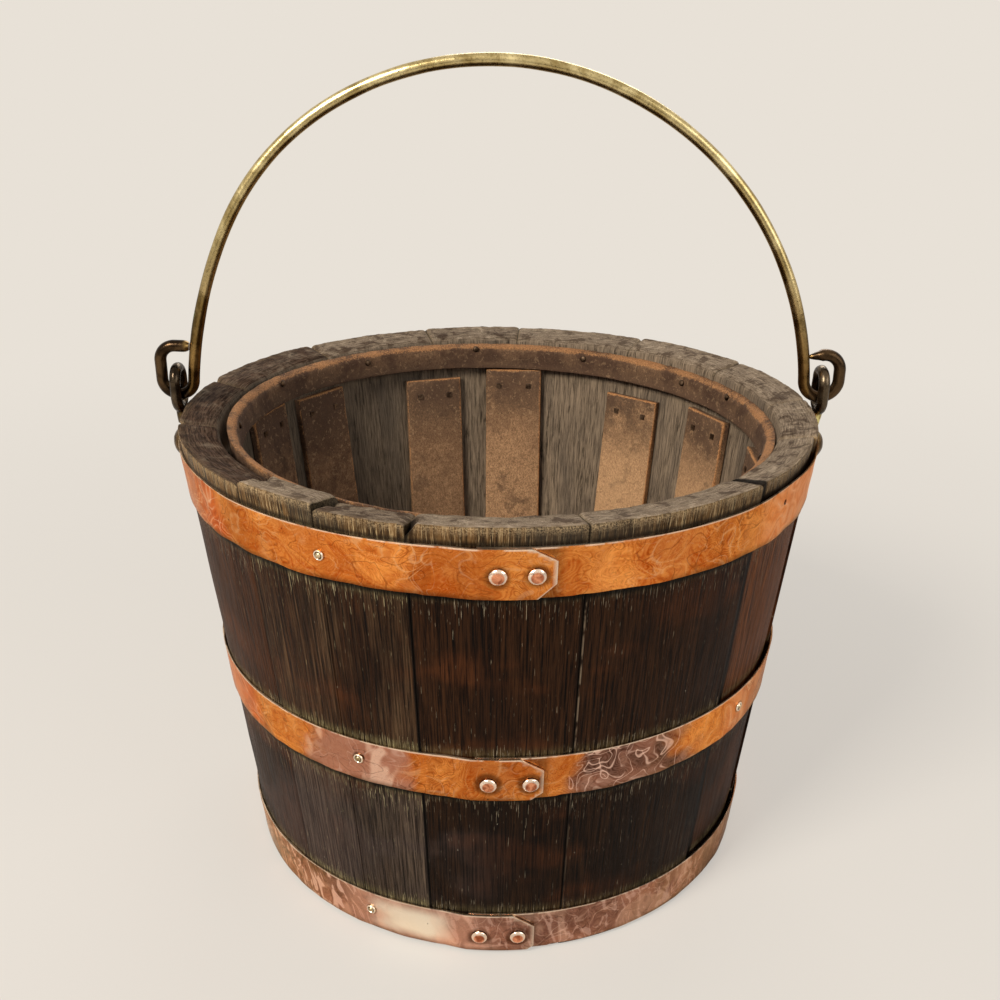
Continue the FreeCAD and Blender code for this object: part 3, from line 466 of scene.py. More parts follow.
    def finished(self):
        """The whole stave: outside, inside and rim, with worn corners, and dirt and painted shade, marked on
        the mesh.
        """
        band, looks_up = self.band, self.upright()
        within = band(face_radius(self.z) - self.radius, 0.012, 0.019)
        on_top = band(looks_up, 0.40, 0.75)
        colour = self.layers(
            self.bare_band(self.joints(self.hoop_dirt_and_shadow(self.waxed()))),
            (within, self.inside()),
            (on_top, self.end_grain()),
            (band(looks_up, -0.5, -0.8), (48, 38, 30)),
            (self.mark("wear_and_highlight") * band(self.pores, 0.40, 0.62) * (0.85 - self.age * 0.5), (190, 162, 122)),
            # dirt and painted shade marked on the mesh
            (self.mark("dirt_and_shade") * 0.95, (9, 6, 4)))
        height = (self.streak * 0.6 + self.fine * 0.5) * (1 - on_top)
        height = height + (self.pores * 0.9 + self.rings * 0.9 + self.lumps * 1.2) * on_top
        height = height + (self.rough * 0.7 - band(self.torn, 0.55, 0.66) * 0.5) * within
        gloss = band(self.streak, 0.2, 0.8, 0.36, 0.56) + within * 0.35 + on_top * 0.30 + self.pale * 0.15
        return self.done(colour, gloss, normal=self.bump(height, 0.0012, 0.8), specular=0.05)


def board_finish():
    """Brown pressed board with short fibres, dark stains and worn tan edges, painted light low on the boards
    at the right and painted shade high up; the ring is darker.
    """
    f = Finish("lining_board")
    x, y, z = f.place()
    spot = f.spot(x, y, z)
    fibre = f.noise(f.spot(x, y, z * 0.6), 1150, 6, 0.8, 0.6)
    blotch = f.noise(spot, 45, 5, 0.65, 0.4)
    wide = f.noise(spot, 13, 3)
    mottle = f.noise(spot, 330, 4, 0.7, 0.5)
    wear_and_highlight = f.mark("wear_and_highlight") + (fibre - 0.5) * 1.3 + (blotch - 0.5) * 1.2
    shade_high = f.band(z + (blotch - 0.5) * 0.12, 0.215, 0.250) * f.band(z, 0.262, 0.255)
    colour = f.layers(
        f.mix(f.band(fibre, 0.34, 0.66), (112, 81, 54), (198, 153, 110)),
        (f.band(wide, 0.46, 0.66) * 0.55, (104, 74, 52)),
        (f.band(blotch, 0.54, 0.66) * 0.6, (74, 54, 40)),
        (f.mark("age") * f.band(blotch, 0.75, 0.40), (66, 45, 32)),
        (f.mark("stain") * f.band(blotch, 0.25, 0.55) * 0.92, (38, 30, 26)),
        # painted light: the boards at the right paler low down
        (f.band(x, 0.01, 0.09) * f.band(z, 0.235, 0.165) * 0.38, (206, 162, 116)),
        (shade_high * 0.5, (94, 68, 49)),
        (f.band(mottle, 0.52, 0.62) * 0.30, (104, 76, 54)),
        (f.band(mottle, 0.44, 0.36) * 0.22, (206, 166, 122)),
        (f.band(wear_and_highlight, 0.50, 0.85) * 0.9, f.mix(f.band(fibre, 0.35, 0.65), (128, 80, 44), (200, 144, 92))),
        (f.band(z, 0.255, 0.262) * 0.28, (58, 38, 24)))
    normal = f.bump(fibre * 0.7 + blotch * 0.6, 0.0011, 0.8)
    return f.done(colour, f.band(fibre, 0.2, 0.8, 0.75, 0.95), normal=normal, specular=0.2)


class CopperFinish(WallFinish):
    """Copper sheet with swirled tarnish and painted reflections, mauve patches, a painted sheen and a rubbed
    bright edge with a painted highlight.
    """

    def __init__(self, name, facts):
        super().__init__("hoop_copper_" + name, facts["low"] * 3)
        self.facts = facts
        self.low, self.high = facts["low"], facts["low"] + HOOP_WIDTH
        self.wrapped = wrapped = self.spot(self.across, self.along, self.z)
        self.warp = self.noise(wrapped, 30, 2, 0.5, 0.6)
        self.swirl = self.noise(self.pushed(0.05, 0.04, 0.05), 26, 1, 0.5, 0.5)
        self.cloud = self.drawn(0.6, 20, 3, 0.5, 0.6)
        self.fine = self.noise(wrapped, 480, 4, 0.65, 1.5)
        self.rubbed = self.drawn(0.2, 95, 3, 0.6, 0.4)
        # painted reflections with tarnish: rings, lines, contours, veins and cracks, and below them a painted
        # sheen
        ring = self.rounds(self.swirl * 11)
        self.ripple = self.band(ring, 0.50, 0.08)
        self.lines = (self.band(ring, 0.13, 0.02) * self.band(self.warp, 0.44, 0.55)
                      * self.band(self.rubbed, 0.38, 0.54))
        burl = self.noise(self.pushed(0.03, 0.03, 0.02), 80, 1, 0.5, 0.8)
        self.contours = self.band(self.rounds(burl * 13 + self.swirl * 6), 0.46, 0.06)
        self.veins = self.band(abs(self.noise(wrapped, 46, 1, 0.5, 1.1) - 0.5), 0.013, 0.002)
        higher = self.spot(self.across, self.along, self.z + 0.5)
        self.cracks = self.band(abs(self.noise(higher, 52, 1, 0.5, 1.0) - 0.5), 0.014, 0.002)
        stretched = self.spot(self.across, self.along, self.z * 0.6 + 0.3)
        self.sheen = self.band(self.noise(stretched, 40, 1, 0.5, 1.0), 0.52, 0.60)

    def pushed(self, across, along, up):
        """A place pushed about by the warp."""
        warp = self.warp
        return self.spot(self.across + warp * across, self.along - warp * along, self.z + warp * up)

    def rounds(self, value):
        """How far a value is from the middle of its own whole number, from 0 to 0.5."""
        return abs(self.node("ShaderNodeMath", {"operation": "FRACT"}, {0: value}) - 0.5)

    def orange(self):
        """Orange copper, browner in clouds, with paler bands that follow one another like contours: swirled
        tarnish with painted reflections and a painted sheen.
        """
        band, cloud, fine, rubbed = self.band, self.cloud, self.fine, self.rubbed
        pale = self.ripple * 0.28 + band(self.swirl, 0.38, 0.62) * 0.38 + self.contours * 0.28
        foot = face_radius(self.low)
        lap = band(ahead(self.x, self.y, self.facts["tip"] - 5), 0.9940 * foot, 0.9985 * foot)
        rosy = band(self.facing(207) + (cloud - 0.5) * 0.05, 0.968, 0.99)
        peach = band(self.facing(332) + (cloud - 0.5) * 0.05, 0.950, 0.985)
        return self.layers(
            # painted reflections with tarnish: pale contour bands over orange
            self.mix(pale, (192, 84, 18), (255, 168, 82)),
            (band(self.contours, 0.10, 0.0) * band(rubbed, 0.46, 0.58) * 0.4, (132, 58, 14)),
            (band(cloud, 0.46, 0.62) * 0.6, (184, 88, 26)),
            (self.sheen * 0.20, (255, 180, 104)),
            (band(rubbed, 0.56, 0.66) * 0.30, (150, 70, 22)),
            (band(fine, 0.54, 0.66) * 0.38, (138, 62, 18)),
            (band(fine, 0.44, 0.34) * 0.25, (255, 190, 128)),
            (self.cracks * band(cloud, 0.34, 0.50) * 0.5, (128, 54, 14)),
            (self.lines * 0.28, (255, 206, 152)),
            (self.veins * band(rubbed, 0.44, 0.56) * 0.20, (255, 214, 166)),
            (lap * 0.22, (160, 80, 26)),
            (rosy * 0.8, self.mix(self.ripple, (200, 72, 26), (232, 108, 56))),
            (rosy * (self.lines + self.veins) * 0.6, (255, 200, 166)),
            (peach * 0.45, (252, 152, 104)),
            (peach * (self.ripple * 0.35 + self.lines * 0.4), (255, 196, 156)))

    def mauve_share(self):
        """Where the sheet is mauve, from the hoop's patches."""
        where = 0.0
        for angle, half, strength in self.facts["patches"]:
            wide, narrow = math.cos(math.radians(half * 1.35)), math.cos(math.radians(half * 0.7))
            facing = self.facing(angle) + (self.warp - 0.5) * (narrow - wide) * 3.0
            where = where + self.band(facing, wide, narrow) * strength
        return where

    def mauve(self):
        """Mauve tarnish, dark at the right, paler at the left as painted light with more painted sheen, and
        on the foot pink and streaked, paler as a painted reflection of the floor, with a painted highlight in
        front.
        """
        band, warp, z, low, high = self.band, self.warp, self.z, self.low, self.high
        foot = band(z, 0.06, 0.05)
        left = band(self.x, 0.01, -0.05)
        left_above = left * (1 - foot)
        streaks = self.spot(self.across + z * 0.2, self.along, z * 0.45 + warp * 0.02)
        streaks = self.noise(streaks, 130, 2, 0.5, 1.4)
        streaky = foot * band(self.x, -0.06, -0.11, 0.38, 1.0)
        near_front = self.facing(252)
        lit = band(near_front + (warp - 0.5) * 0.014, 0.9850, 0.9990) * foot
        lit = lit * band(z + (warp - 0.5) * 0.01, low - 0.001, low + 0.009)
        lit = lit * band(z, high + 0.001, high - 0.009)
        return self.layers(
            self.mix(band(self.swirl, 0.42, 0.58), (84, 52, 42), (142, 94, 76)),
            # painted light: paler at the left and, as a painted reflection of the floor, on the foot; painted
            # sheen strongest at the left
            (left_above * 0.7, (206, 142, 116)),
            (foot * 0.3, (196, 146, 130)),
            (self.sheen * (0.10 + left_above * 0.70 + foot * 0.15), (255, 214, 188)),
            (self.cracks * 0.5, (70, 40, 32)),
            (self.contours * 0.16, (220, 170, 148)),
            ((self.lines + self.veins) * (0.75 - foot * 0.35 - left * 0.4), (246, 204, 184)),
            (band(streaks, 0.54, 0.61) * streaky * 0.85, (255, 216, 198)),
            (band(streaks, 0.46, 0.38) * streaky * 0.75, (76, 45, 36)),
            (band(self.fine, 0.55, 0.68) * 0.25, (84, 52, 42)),
            # painted highlight: a pale glow on the foot's front round the bright lit patch
            (band(near_front, 0.95, 0.985) * foot * (0.35 + self.sheen * 0.35), (240, 190, 166)),
            (lit * (0.92 - self.sheen * 0.15), (255, 248, 230)))

    def head_spots(self):
        """Middles of the hoop's rivets and tacks on its face, and how far the dirt round them reaches."""
        middle = self.low + HOOP_WIDTH / 2
        for kind, stand_off, reach in (("rivet", 0.0026, 0.0105), ("tack", 0.0016, 0.0052)):
            height = middle + HOOP_WIDTH * self.facts[kind + "_share"]
            for angle in self.facts[kind + "s"]:
                yield on_wall(angle, height, stand_off).translation, reach

    def dirt_and_shade(self, colour):
        """Dirt low down and round the heads, small pits, and painted shade under the lap with a painted
        shadow just past its tip.
        """
        band, low = self.band, self.low
        dirt_and_shade = band(self.z, low + 0.0040, low - 0.0005) * band(self.cloud, 0.35, 0.6)
        colour = self.mix(dirt_and_shade * 0.7, colour, (84, 44, 20))
        place = self.spot(self.x, self.y, self.z)
        for middle, reach in self.head_spots():
            gap = self.node("ShaderNodeVectorMath", {"operation": "DISTANCE"}, {0: place, 1: middle}, "Value")
            halo = band(gap + (self.swirl - 0.5) * 0.006, reach * 0.8, reach * 0.5)
            colour = self.mix(halo * 0.7, colour, (70, 34, 14))
        self.pits = band(self.cells(self.wrapped, 115), 0.070, 0.045) * band(self.warp, 0.54, 0.62)
        # the painted shade and shadow at the lap, marked on the mesh, then the pits
        return self.layers(colour, (self.mark("dirt_and_shade") * 0.6, (70, 36, 16)), (self.pits * 0.85, (34, 22, 14)))

    def rubbed_and_highlit_edges(self, colour):
        """The sheet's edges, brown, and in front rubbed bright with a painted highlight along the top edge
        and its crest.
        """
        band = self.band
        edge = band(self.upright(), 0.45, 0.8)
        front = band(self.facing(258) + (self.rubbed - 0.5) * 0.5, 0.20, 0.80)
        crest = band(self.z, self.high - 0.0012, self.high - 0.0006) * band(self.rubbed, 0.36, 0.50)
        return self.layers(
            colour,
            (edge, (96, 62, 44)),
            # painted highlight with wear: the top edge and the crest under it pale in front
            (edge * front * 0.9, (250, 236, 214)),
            (crest * front * 0.7, (252, 226, 200)),
            (self.mark("wear_and_highlight"), (240, 228, 208)))

    def finished(self):
        """The whole sheet."""
        where = self.mauve_share()
        colour = self.rubbed_and_highlit_edges(self.dirt_and_shade(self.mix(where, self.orange(), self.mauve())))
        gloss = self.band(self.swirl, 0.3, 0.7, 0.24, 0.38) - where * 0.10 + self.pits * 0.3
        height = self.warp * 1.1 + self.swirl * 0.8 + self.rubbed * 0.12 + self.fine * 0.05
        height = height + (self.lines + self.veins - self.cracks) * 0.03
        return self.done(colour, gloss, 1.0, self.bump(height, 0.0022, 0.6), tint=(1.0, 0.82, 0.58, 1.0))


def rod_finish():
    """Satin brass, darker and browner towards the hooks, with fine marks across the rod."""
    f = Finish("bail_brass")
    x, y, z = f.place()
    spot = f.spot(x, y, z)
    cloud = f.noise(spot, 42, 5, 0.6, 0.6)
    fine = f.noise(spot, 900, 3, 0.6)
    marks = f.noise(f.spot(x * 6, y * 0.15, z * 6), 130, 3, 0.6)
    near_hook = f.band(z, 0.335, 0.300) * 0.55 + f.band(abs(x), 0.1865, 0.192)
    side, up = x + 0.1822, z - 0.3335
    green = f.band(side * side + up * up * 0.5, 0.0000095, 0.000003) * f.band(fine, 0.42, 0.55)
    colour = f.layers(
        f.mix(f.band(cloud, 0.32, 0.66), (156, 134, 82), (222, 204, 152)),
        (f.band(z, 0.40, 0.29) * 0.9, f.mix(f.band(cloud, 0.36, 0.62), (82, 54, 16), (142, 102, 42))),
        (f.band(marks, 0.54, 0.66) * 0.45, (74, 52, 22)),
        (f.band(near_hook, 0.35, 0.85), f.mix(f.band(cloud, 0.4, 0.62), (38, 28, 19), (88, 68, 46))),
        (green * 0.85, (104, 128, 92)),
        (f.band(fine, 0.60, 0.70) * 0.45, (58, 42, 22)))
    gloss = f.band(cloud, 0.3, 0.7, 0.20, 0.36) + green * 0.4
    return f.done(colour, gloss, 1.0, f.bump(marks * 0.35 + cloud * 0.6, 0.0006, 0.3))


def bronze_finish():
    """Dark oily bronze, rubbed to pale yellow on the neck of each ear, paler on the right ear as a painted
    highlight.
    """
    f = Finish("ear_bronze")
    x, y, z = f.place()
    spot = f.spot(x, y, z)
    cloud = f.noise(spot, 60, 5, 0.6, 0.5)
    fine = f.noise(spot, 520, 4, 0.7)
    neck = f.strip(z, 0.2585, 0.2640, 0.2705, 0.2755)
    right = f.band(x, -0.01, 0.01)
    pale = f.mix(f.band(fine, 0.35, 0.6), (150, 122, 58), (246, 232, 158))
    gold = f.mix(f.band(fine, 0.45, 0.7), (78, 62, 34), (168, 140, 84))
    colour = f.layers(
        f.mix(f.band(cloud, 0.36, 0.64), (42, 34, 26), (98, 84, 66)),
        # rubbed neck, paler on the right ear as a painted highlight
        (neck * (0.35 + right * 0.6), f.mix(right, gold, pale)),
        (f.band(z, 0.2665, 0.2625) * 0.6, f.mix(f.band(cloud, 0.4, 0.6), (70, 50, 30), (132, 100, 58))))
    return f.done(colour, f.band(cloud, 0.3, 0.7, 0.18, 0.34), 1.0, f.bump(cloud + fine * 0.25, 0.0007, 0.5))


def head_finish(name, dark, light, gloss):
    """A small rubbed metal head, dark round its edge with dirt and painted shade, and pale where marked, on
    rivets as a painted highlight.
    """
    f = Finish(name)
    cloud = f.noise(f.spot(*f.place()), 240, 4, 0.6, 0.6)
    colour = f.layers(
        f.mix(f.band(cloud, 0.35, 0.62), dark, light),
        # pale marks: wear, and on the rivets a painted highlight
        (f.mark("wear_and_highlight") * 0.8, (250, 236, 216)),
        # dirt and painted shade
        (f.mark("dirt_and_shade") * 0.85, (38, 26, 16)))
    return f.done(colour, f.band(cloud, 0.3, 0.7, gloss, gloss + 0.16), 1.0, f.bump(cloud, 0.0006, 0.5))


def base_finish():
    """Dirty oak boards of the base, with the grain along the boards."""
    f = Finish("base_oak")
    x, y, z = f.place()
    grain = f.noise(f.spot(x, y * 0.06, z), 420, 6, 0.7, 0.3)
    blotch = f.noise(f.spot(x, y, z), 22, 4, 0.6, 0.5)
    colour = f.layers(
        f.mix(f.band(grain, 0.32, 0.68), (44, 34, 26), (104, 84, 62)),
        (f.band(blotch, 0.45, 0.62) * 0.6, (52, 42, 34)))
    return f.done(colour, f.band(grain, 0.2, 0.8, 0.62, 0.86), normal=f.bump(grain, 0.0010, 0.7))


# Modelling helpers

def leave_edit():
    """Go back to object mode."""
    bpy.ops.object.mode_set(mode="OBJECT")


def clear_selection():
    """Leave edit mode and deselect everything."""
    if bpy.context.object and bpy.context.object.mode != "OBJECT":
        leave_edit()
    bpy.ops.object.select_all(action="DESELECT")


def begin(kind, name, **settings):
    """Add a primitive at its size and place, with its place in its mesh, and edit it."""
    clear_selection()
    scale = settings.pop("scale", None)
    getattr(bpy.ops.mesh, "primitive_%s_add" % kind)(**settings)
    piece = bpy.context.object
    if scale:
        piece.scale = scale
    bpy.ops.object.transform_apply(location=True, rotation=True, scale=True)
    piece.name = name
    piece.data.name = name
    bpy.ops.object.mode_set(mode="EDIT")
    return piece


def begin_section(name, wide, tall, across, foot=0.0):
    """A flat section in the XZ plane, about a distance from the axis, that leans out with the wall."""
    middle = foot + tall / 2
    piece = begin("plane", name, size=1, rotation=(math.pi / 2, 0, 0), scale=(wide, tall, 1),
                  location=(across, 0, middle))
    pick(piece, "VERT", lambda co: co.z > middle)
    shift(x=SLOPE * tall)
    return piece


def all_of_it():
    """Select all that is edited."""
    bpy.ops.mesh.select_all(action="SELECT")


def pick(piece, kind, test):
    """Select in edit mode every vertex, edge or face whose middle passes a test."""
    bpy.ops.mesh.select_mode(type=kind)
    bpy.ops.mesh.select_all(action="DESELECT")
    mesh = bmesh.from_edit_mesh(piece.data)
    parts, middle_of = {
        "VERT": (mesh.verts, lambda vertex: vertex.co),
        "EDGE": (mesh.edges, lambda edge: (edge.verts[0].co + edge.verts[1].co) / 2),
        "FACE": (mesh.faces, lambda face: face.calc_center_median())}[kind]
    for part in parts:
        if test(middle_of(part)):
            part.select_set(True)
    mesh.select_flush_mode()
    bmesh.update_edit_mesh(piece.data)


def divide_long(piece, length, cuts):
    """Divide in edit mode every edge that is longer than a length."""
    bpy.ops.mesh.select_mode(type="EDGE")
    bpy.ops.mesh.select_all(action="DESELECT")
    mesh = bmesh.from_edit_mesh(piece.data)
    for edge in mesh.edges:
        edge.select_set(edge.calc_length() > length)
    bmesh.update_edit_mesh(piece.data)
    bpy.ops.mesh.subdivide(number_cuts=cuts)


def shift(x=0.0, y=0.0, z=0.0):
    """Move the selection."""
    bpy.ops.transform.translate(value=(x, y, z))


def ease(piece, size, segments, test):
    """Round a section's corners that pass a test."""
    pick(piece, "VERT", test)
    bpy.ops.mesh.bevel(offset=size, segments=segments, affect="VERTICES")


def spin(turn, steps, centre=(0, 0, 0), axis=(0, 0, 1)):
    """Sweep the selection round an axis, counter-clockwise in degrees (the operator counts clockwise)."""
    bpy.ops.mesh.spin(steps=steps, angle=-math.radians(turn), center=centre, axis=axis)


def turn_to(angle):
    """Turn the selection about the bucket's axis, counter-clockwise in degrees."""
    bpy.ops.transform.rotate(value=-math.radians(angle), orient_axis="Z", center_override=(0, 0, 0))


def cut_off(point, normal):
    """Cut the selection off beyond a plane and close it."""
    bpy.ops.mesh.bisect(plane_co=point, plane_no=normal, use_fill=True, clear_outer=True)


def activate(piece):
    """Make one piece the selected and active one."""
    clear_selection()
    piece.select_set(True)
    bpy.context.view_layer.objects.active = piece


def apply(piece, kind, **settings):
    """Add a modifier, set it up and apply it."""
    activate(piece)
    modifier = piece.modifiers.new(kind.lower(), kind)
    for name, value in settings.items():
        setattr(modifier, name, value)
    bpy.ops.object.modifier_apply(modifier=modifier.name)


def round_edges(piece, width, angle):
    """Bevel the edges at which faces meet more sharply than an angle."""
    apply(piece, "BEVEL", width=width, segments=2, limit_method="ANGLE", angle_limit=math.radians(angle))


def roughen(piece, size, strength, depth=2, group="", direction="NORMAL", level=0.5):
    """Displace a piece by soft noise, all over or where a group says, and inwards below a level."""
    texture = bpy.data.textures.new(piece.name + "_noise", "CLOUDS")
    texture.noise_scale = size
    texture.noise_depth = depth
    apply(piece, "DISPLACE", texture=texture, strength=strength, mid_level=level,
          texture_coords="GLOBAL", direction=direction, vertex_group=group)
    bpy.data.textures.remove(texture)


def paint(piece, name, value_of):
    """Paint a number on every vertex."""
    layer = piece.data.attributes.new(name, "FLOAT", "POINT")
    layer.data.foreach_set("value", [value_of(vertex.co) for vertex in piece.data.vertices])


def weigh(piece, name, value_of):
    """A vertex group whose weights follow from each vertex's place."""
    group = piece.vertex_groups.new(name=name)
    for vertex in piece.data.vertices:
        weight = value_of(vertex.co)
        if weight > 0:
            group.add([vertex.index], weight, "REPLACE")


def pull_in(co, radius, depth):
    """Move a vertex towards the bucket's axis."""
    co.x -= co.x / radius * depth
    co.y -= co.y / radius * depth


def smooth(piece, angle):
    """Smooth shading, with creases where faces meet more sharply than an angle."""
    activate(piece)
    bpy.ops.object.shade_smooth_by_angle(angle=math.radians(angle))


def recalculate(piece):
    """Weld doubles and point all faces outwards."""
    activate(piece)
    bpy.ops.object.mode_set(mode="EDIT")
    all_of_it()
    bpy.ops.mesh.remove_doubles(threshold=0.000002)
    bpy.ops.mesh.normals_make_consistent(inside=False)
    leave_edit()


def coat(piece, material):
    """Give a piece one material."""
    piece.data.materials.clear()
    piece.data.materials.append(material)


def finish_piece(piece, material, body, slot, *nodes):
    """Give a piece its material and body, and hide the nodes that it stands for; the slot is not used."""
    clear_selection()
    coat(piece, material)
    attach(piece, body)
    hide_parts(*nodes)


def copy_to(piece, name, matrix):
    """A copy with its own mesh, moved to a place."""
    twin = piece.copy()
    twin.data = piece.data.copy()
    twin.name = name
    twin.data.name = name
    twin.data.transform(matrix)
    bpy.context.scene.collection.objects.link(twin)
    return twin


def join(pieces, name):
    """Join pieces into one object."""
    activate(pieces[0])
    for piece in pieces[1:]:
        piece.select_set(True)
    bpy.ops.object.join()
    pieces[0].name = name
    pieces[0].data.name = name
    return pieces[0]


# Staves

class Stave:
    """One stave: its leaning section is shaped, rounded, divided and spun through its angle."""

    def __init__(self, index):
        self.index = index
        self.start, rise, back, self.tone, self.red, self.age, _ = STAVES[index]
        self.next = JOINTS[(index + 1) % len(JOINTS)]
        self.span = (self.next - self.start) % 360
        self.top, self.back = HEIGHT + rise / 1000, back / 1000
        self.piece = self.cut_out()
        self.rub_joints()
        self.roughen_faces()
        if index in CHIPS:
            self.chip(*CHIPS[index])

    def cut_out(self):
        """The clean stave, a hair narrower than the gap between its neighbours."""
        top, face, inner_drop, hair = self.top, face_radius(self.top), 0.0035, 0.00025
        piece = begin_section("stave_%02d_worn" % (self.index + 1), WALL - self.back, top,
                              FOOT_RADIUS - self.back / 2 - WALL / 2)
        pick(piece, "VERT", lambda co: co.z > top / 2 and co.x < face - WALL / 2)
        shift(x=-SLOPE * inner_drop, z=-inner_drop)
        ease(piece, 0.0034, 4, lambda co: co.z > top / 2 and co.x < face - WALL / 2)
        ease(piece, 0.0013, 2, lambda co: co.z > top - 0.001 and co.x > face - 0.004)
        ease(piece, 0.0012, 2, lambda co: co.z < 0.001 and co.x > FOOT_RADIUS - 0.005)
        divide_long(piece, 0.2, 63)
        pick(piece, "EDGE", lambda co: co.z > top - 0.004 and -WALL + 0.0040 < co.x - face < -0.0025)
        bpy.ops.mesh.subdivide(number_cuts=9)
        all_of_it()
        gap = math.degrees(hair / RIM_RADIUS)
        turn_to(self.start + gap / 2)
        spin(self.span - gap, int(self.span * 2.6))
        leave_edit()
        recalculate(piece)
        return piece

    def near_joint(self, co):
        """Distance to the nearer joint, round the wall."""
        angle, radius = polar(co)
        return min(apart(angle, self.start), apart(angle, self.start + self.span)) / 180 * math.pi * radius

    def rim_share(self, co):
        """1 in the stave's top, fading to 0 below it."""
        return clamp((co.z - (self.top - 0.012)) / 0.006)

    def rub_joints(self):
        """Rub the edges at the joints round, above all at the rim."""
        for vertex in self.piece.data.vertices:
            co = vertex.co
            gap, rim = self.near_joint(co), self.rim_share(co)
            angle, radius = polar(co)
            rubbed = JOINT_WEAR[min((self.start, self.next), key=lambda joint: apart(angle, joint))]
            reach = 0.0024 + 0.0044 * rubbed
            if gap < reach:
                drop = (1 - gap / reach) ** 2
                co.z -= drop * rim * (0.0008 + 0.0026 * rubbed)
                outer = clamp((radius - face_radius(co.z) + 0.006) / 0.004)
                pull_in(co, radius, drop * outer * (0.00030 + 0.0018 * rubbed ** 3 * rim))

    def roughen_faces(self):
        """Weather the rim up and down, and the wall only inwards, away from the joints."""
        piece = self.piece
        weigh(piece, "rim", self.rim_share)
        roughen(piece, 0.006, 0.0011, 3, "rim", "Z")
        roughen(piece, 0.022, 0.0009, 1, "rim", "Z")
        weigh(piece, "wall", lambda co: 0.0 if self.near_joint(co) < 0.003 or co.z < 0.002
              else 1 - self.rim_share(co))
        roughen(piece, 0.030, 0.0006, 2, "wall", level=0.75)

    def chip(self, width, low, high, deep):
        """Break a hollow out of the rim beside the first joint."""
        for vertex in self.piece.data.vertices:
            co = vertex.co
            angle, radius = polar(co)
            away = ((angle - self.start + 180) % 360 - 180) / width
            inward = (radius - (low + high) / 2) / ((high - low) / 2)
            if 0 <= away < 1 and abs(inward) < 1 and co.z > self.top - 0.008:
                co.z -= deep * (1 - away ** 2) * (1 - inward ** 2)

    def worn_at(self, co):
        """Rubbed bare along the rim's outer edge and at the joints."""
        _, radius = polar(co)
        outer_edge = clamp(1 - abs(co.z - (self.top - 0.0016)) / 0.0019)
        outer_edge *= clamp((radius - face_radius(co.z) + self.back + 0.0035) / 0.0015)
        joint = clamp(1 - self.near_joint(co) / 0.0016) * clamp((co.z - 0.05) / 0.2) * 0.75
        return clamp(outer_edge + joint * self.rim_share(co))

    def dirt_and_shade_at(self, co):
        """Black in the joints; dirt and painted shade in the chips, in the notch, by the set-back stave's
        first joint and in its gap under the top hoop.
        """
        angle, radius = polar(co)
        near, into = self.near_joint(co), (angle - self.start) % 360
        dirt_and_shade = clamp(1 - near / 0.0011)
        dirt_and_shade = dirt_and_shade if radius > face_radius(co.z) - 0.004 else dirt_and_shade * 0.5
        if co.z < 0.24 and min(apart(angle, JOINTS[TALL_STAVE]), apart(angle, JOINTS[GREY_STAVE])) < 1:
            dirt_and_shade *= 0.25
        if apart(angle, JOINTS[RIGHT_STAVE]) < 1:
            dirt_and_shade = 0.0
        # dirt and painted shade: a wider dark band by the set-back stave's first joint, then the chips, the
        # notch and the gap under the top hoop
        if self.index == RED_STAVE and apart(angle, self.start) < 4:
            dirt_and_shade = clamp((0.0068 - near) / 0.0012)
        if self.index in (TALL_STAVE, GREY_STAVE):
            inner = clamp(1 - abs(radius - 0.1757) / 0.0055)
            dirt_and_shade = max(dirt_and_shade, clamp(1 - into / 3.4) * inner * self.rim_share(co) * 1.5)
        if self.index == NOTCHED_STAVE and radius > 0.178:
            dirt_and_shade = max(dirt_and_shade, clamp(1.5 - into / 1.1) * clamp((co.z - 0.268) / 0.003))
        if self.index == RED_STAVE and radius > face_radius(co.z) - 0.006:
            dirt_and_shade = max(dirt_and_shade, clamp((co.z - 0.262) / 0.004) * clamp((0.2735 - co.z) / 0.003))
        return clamp(dirt_and_shade)

    def tone_at(self, co):
        """How grey the stave is; the grey stave grows greyer to its right."""
        share = ((polar(co)[0] - self.start) % 360) / self.span
        greyer = 0.18 if self.index == GREY_STAVE else 0.0
        return self.tone + clamp((share - 0.30) / 0.6) * greyer

    def finish(self, material):
        """Paint the stave's marks and hand it over."""
        for name, value_of in (("wear_and_highlight", self.worn_at), ("dirt_and_shade", self.dirt_and_shade_at), ("tone", self.tone_at),
                               ("red", lambda co: self.red), ("age", lambda co: self.age)):
            paint(self.piece, name, value_of)
        smooth(self.piece, 50)
        finish_piece(self.piece, material, "bucket", "stave_oak", "stave_%02d" % (self.index + 1))


# Hoops

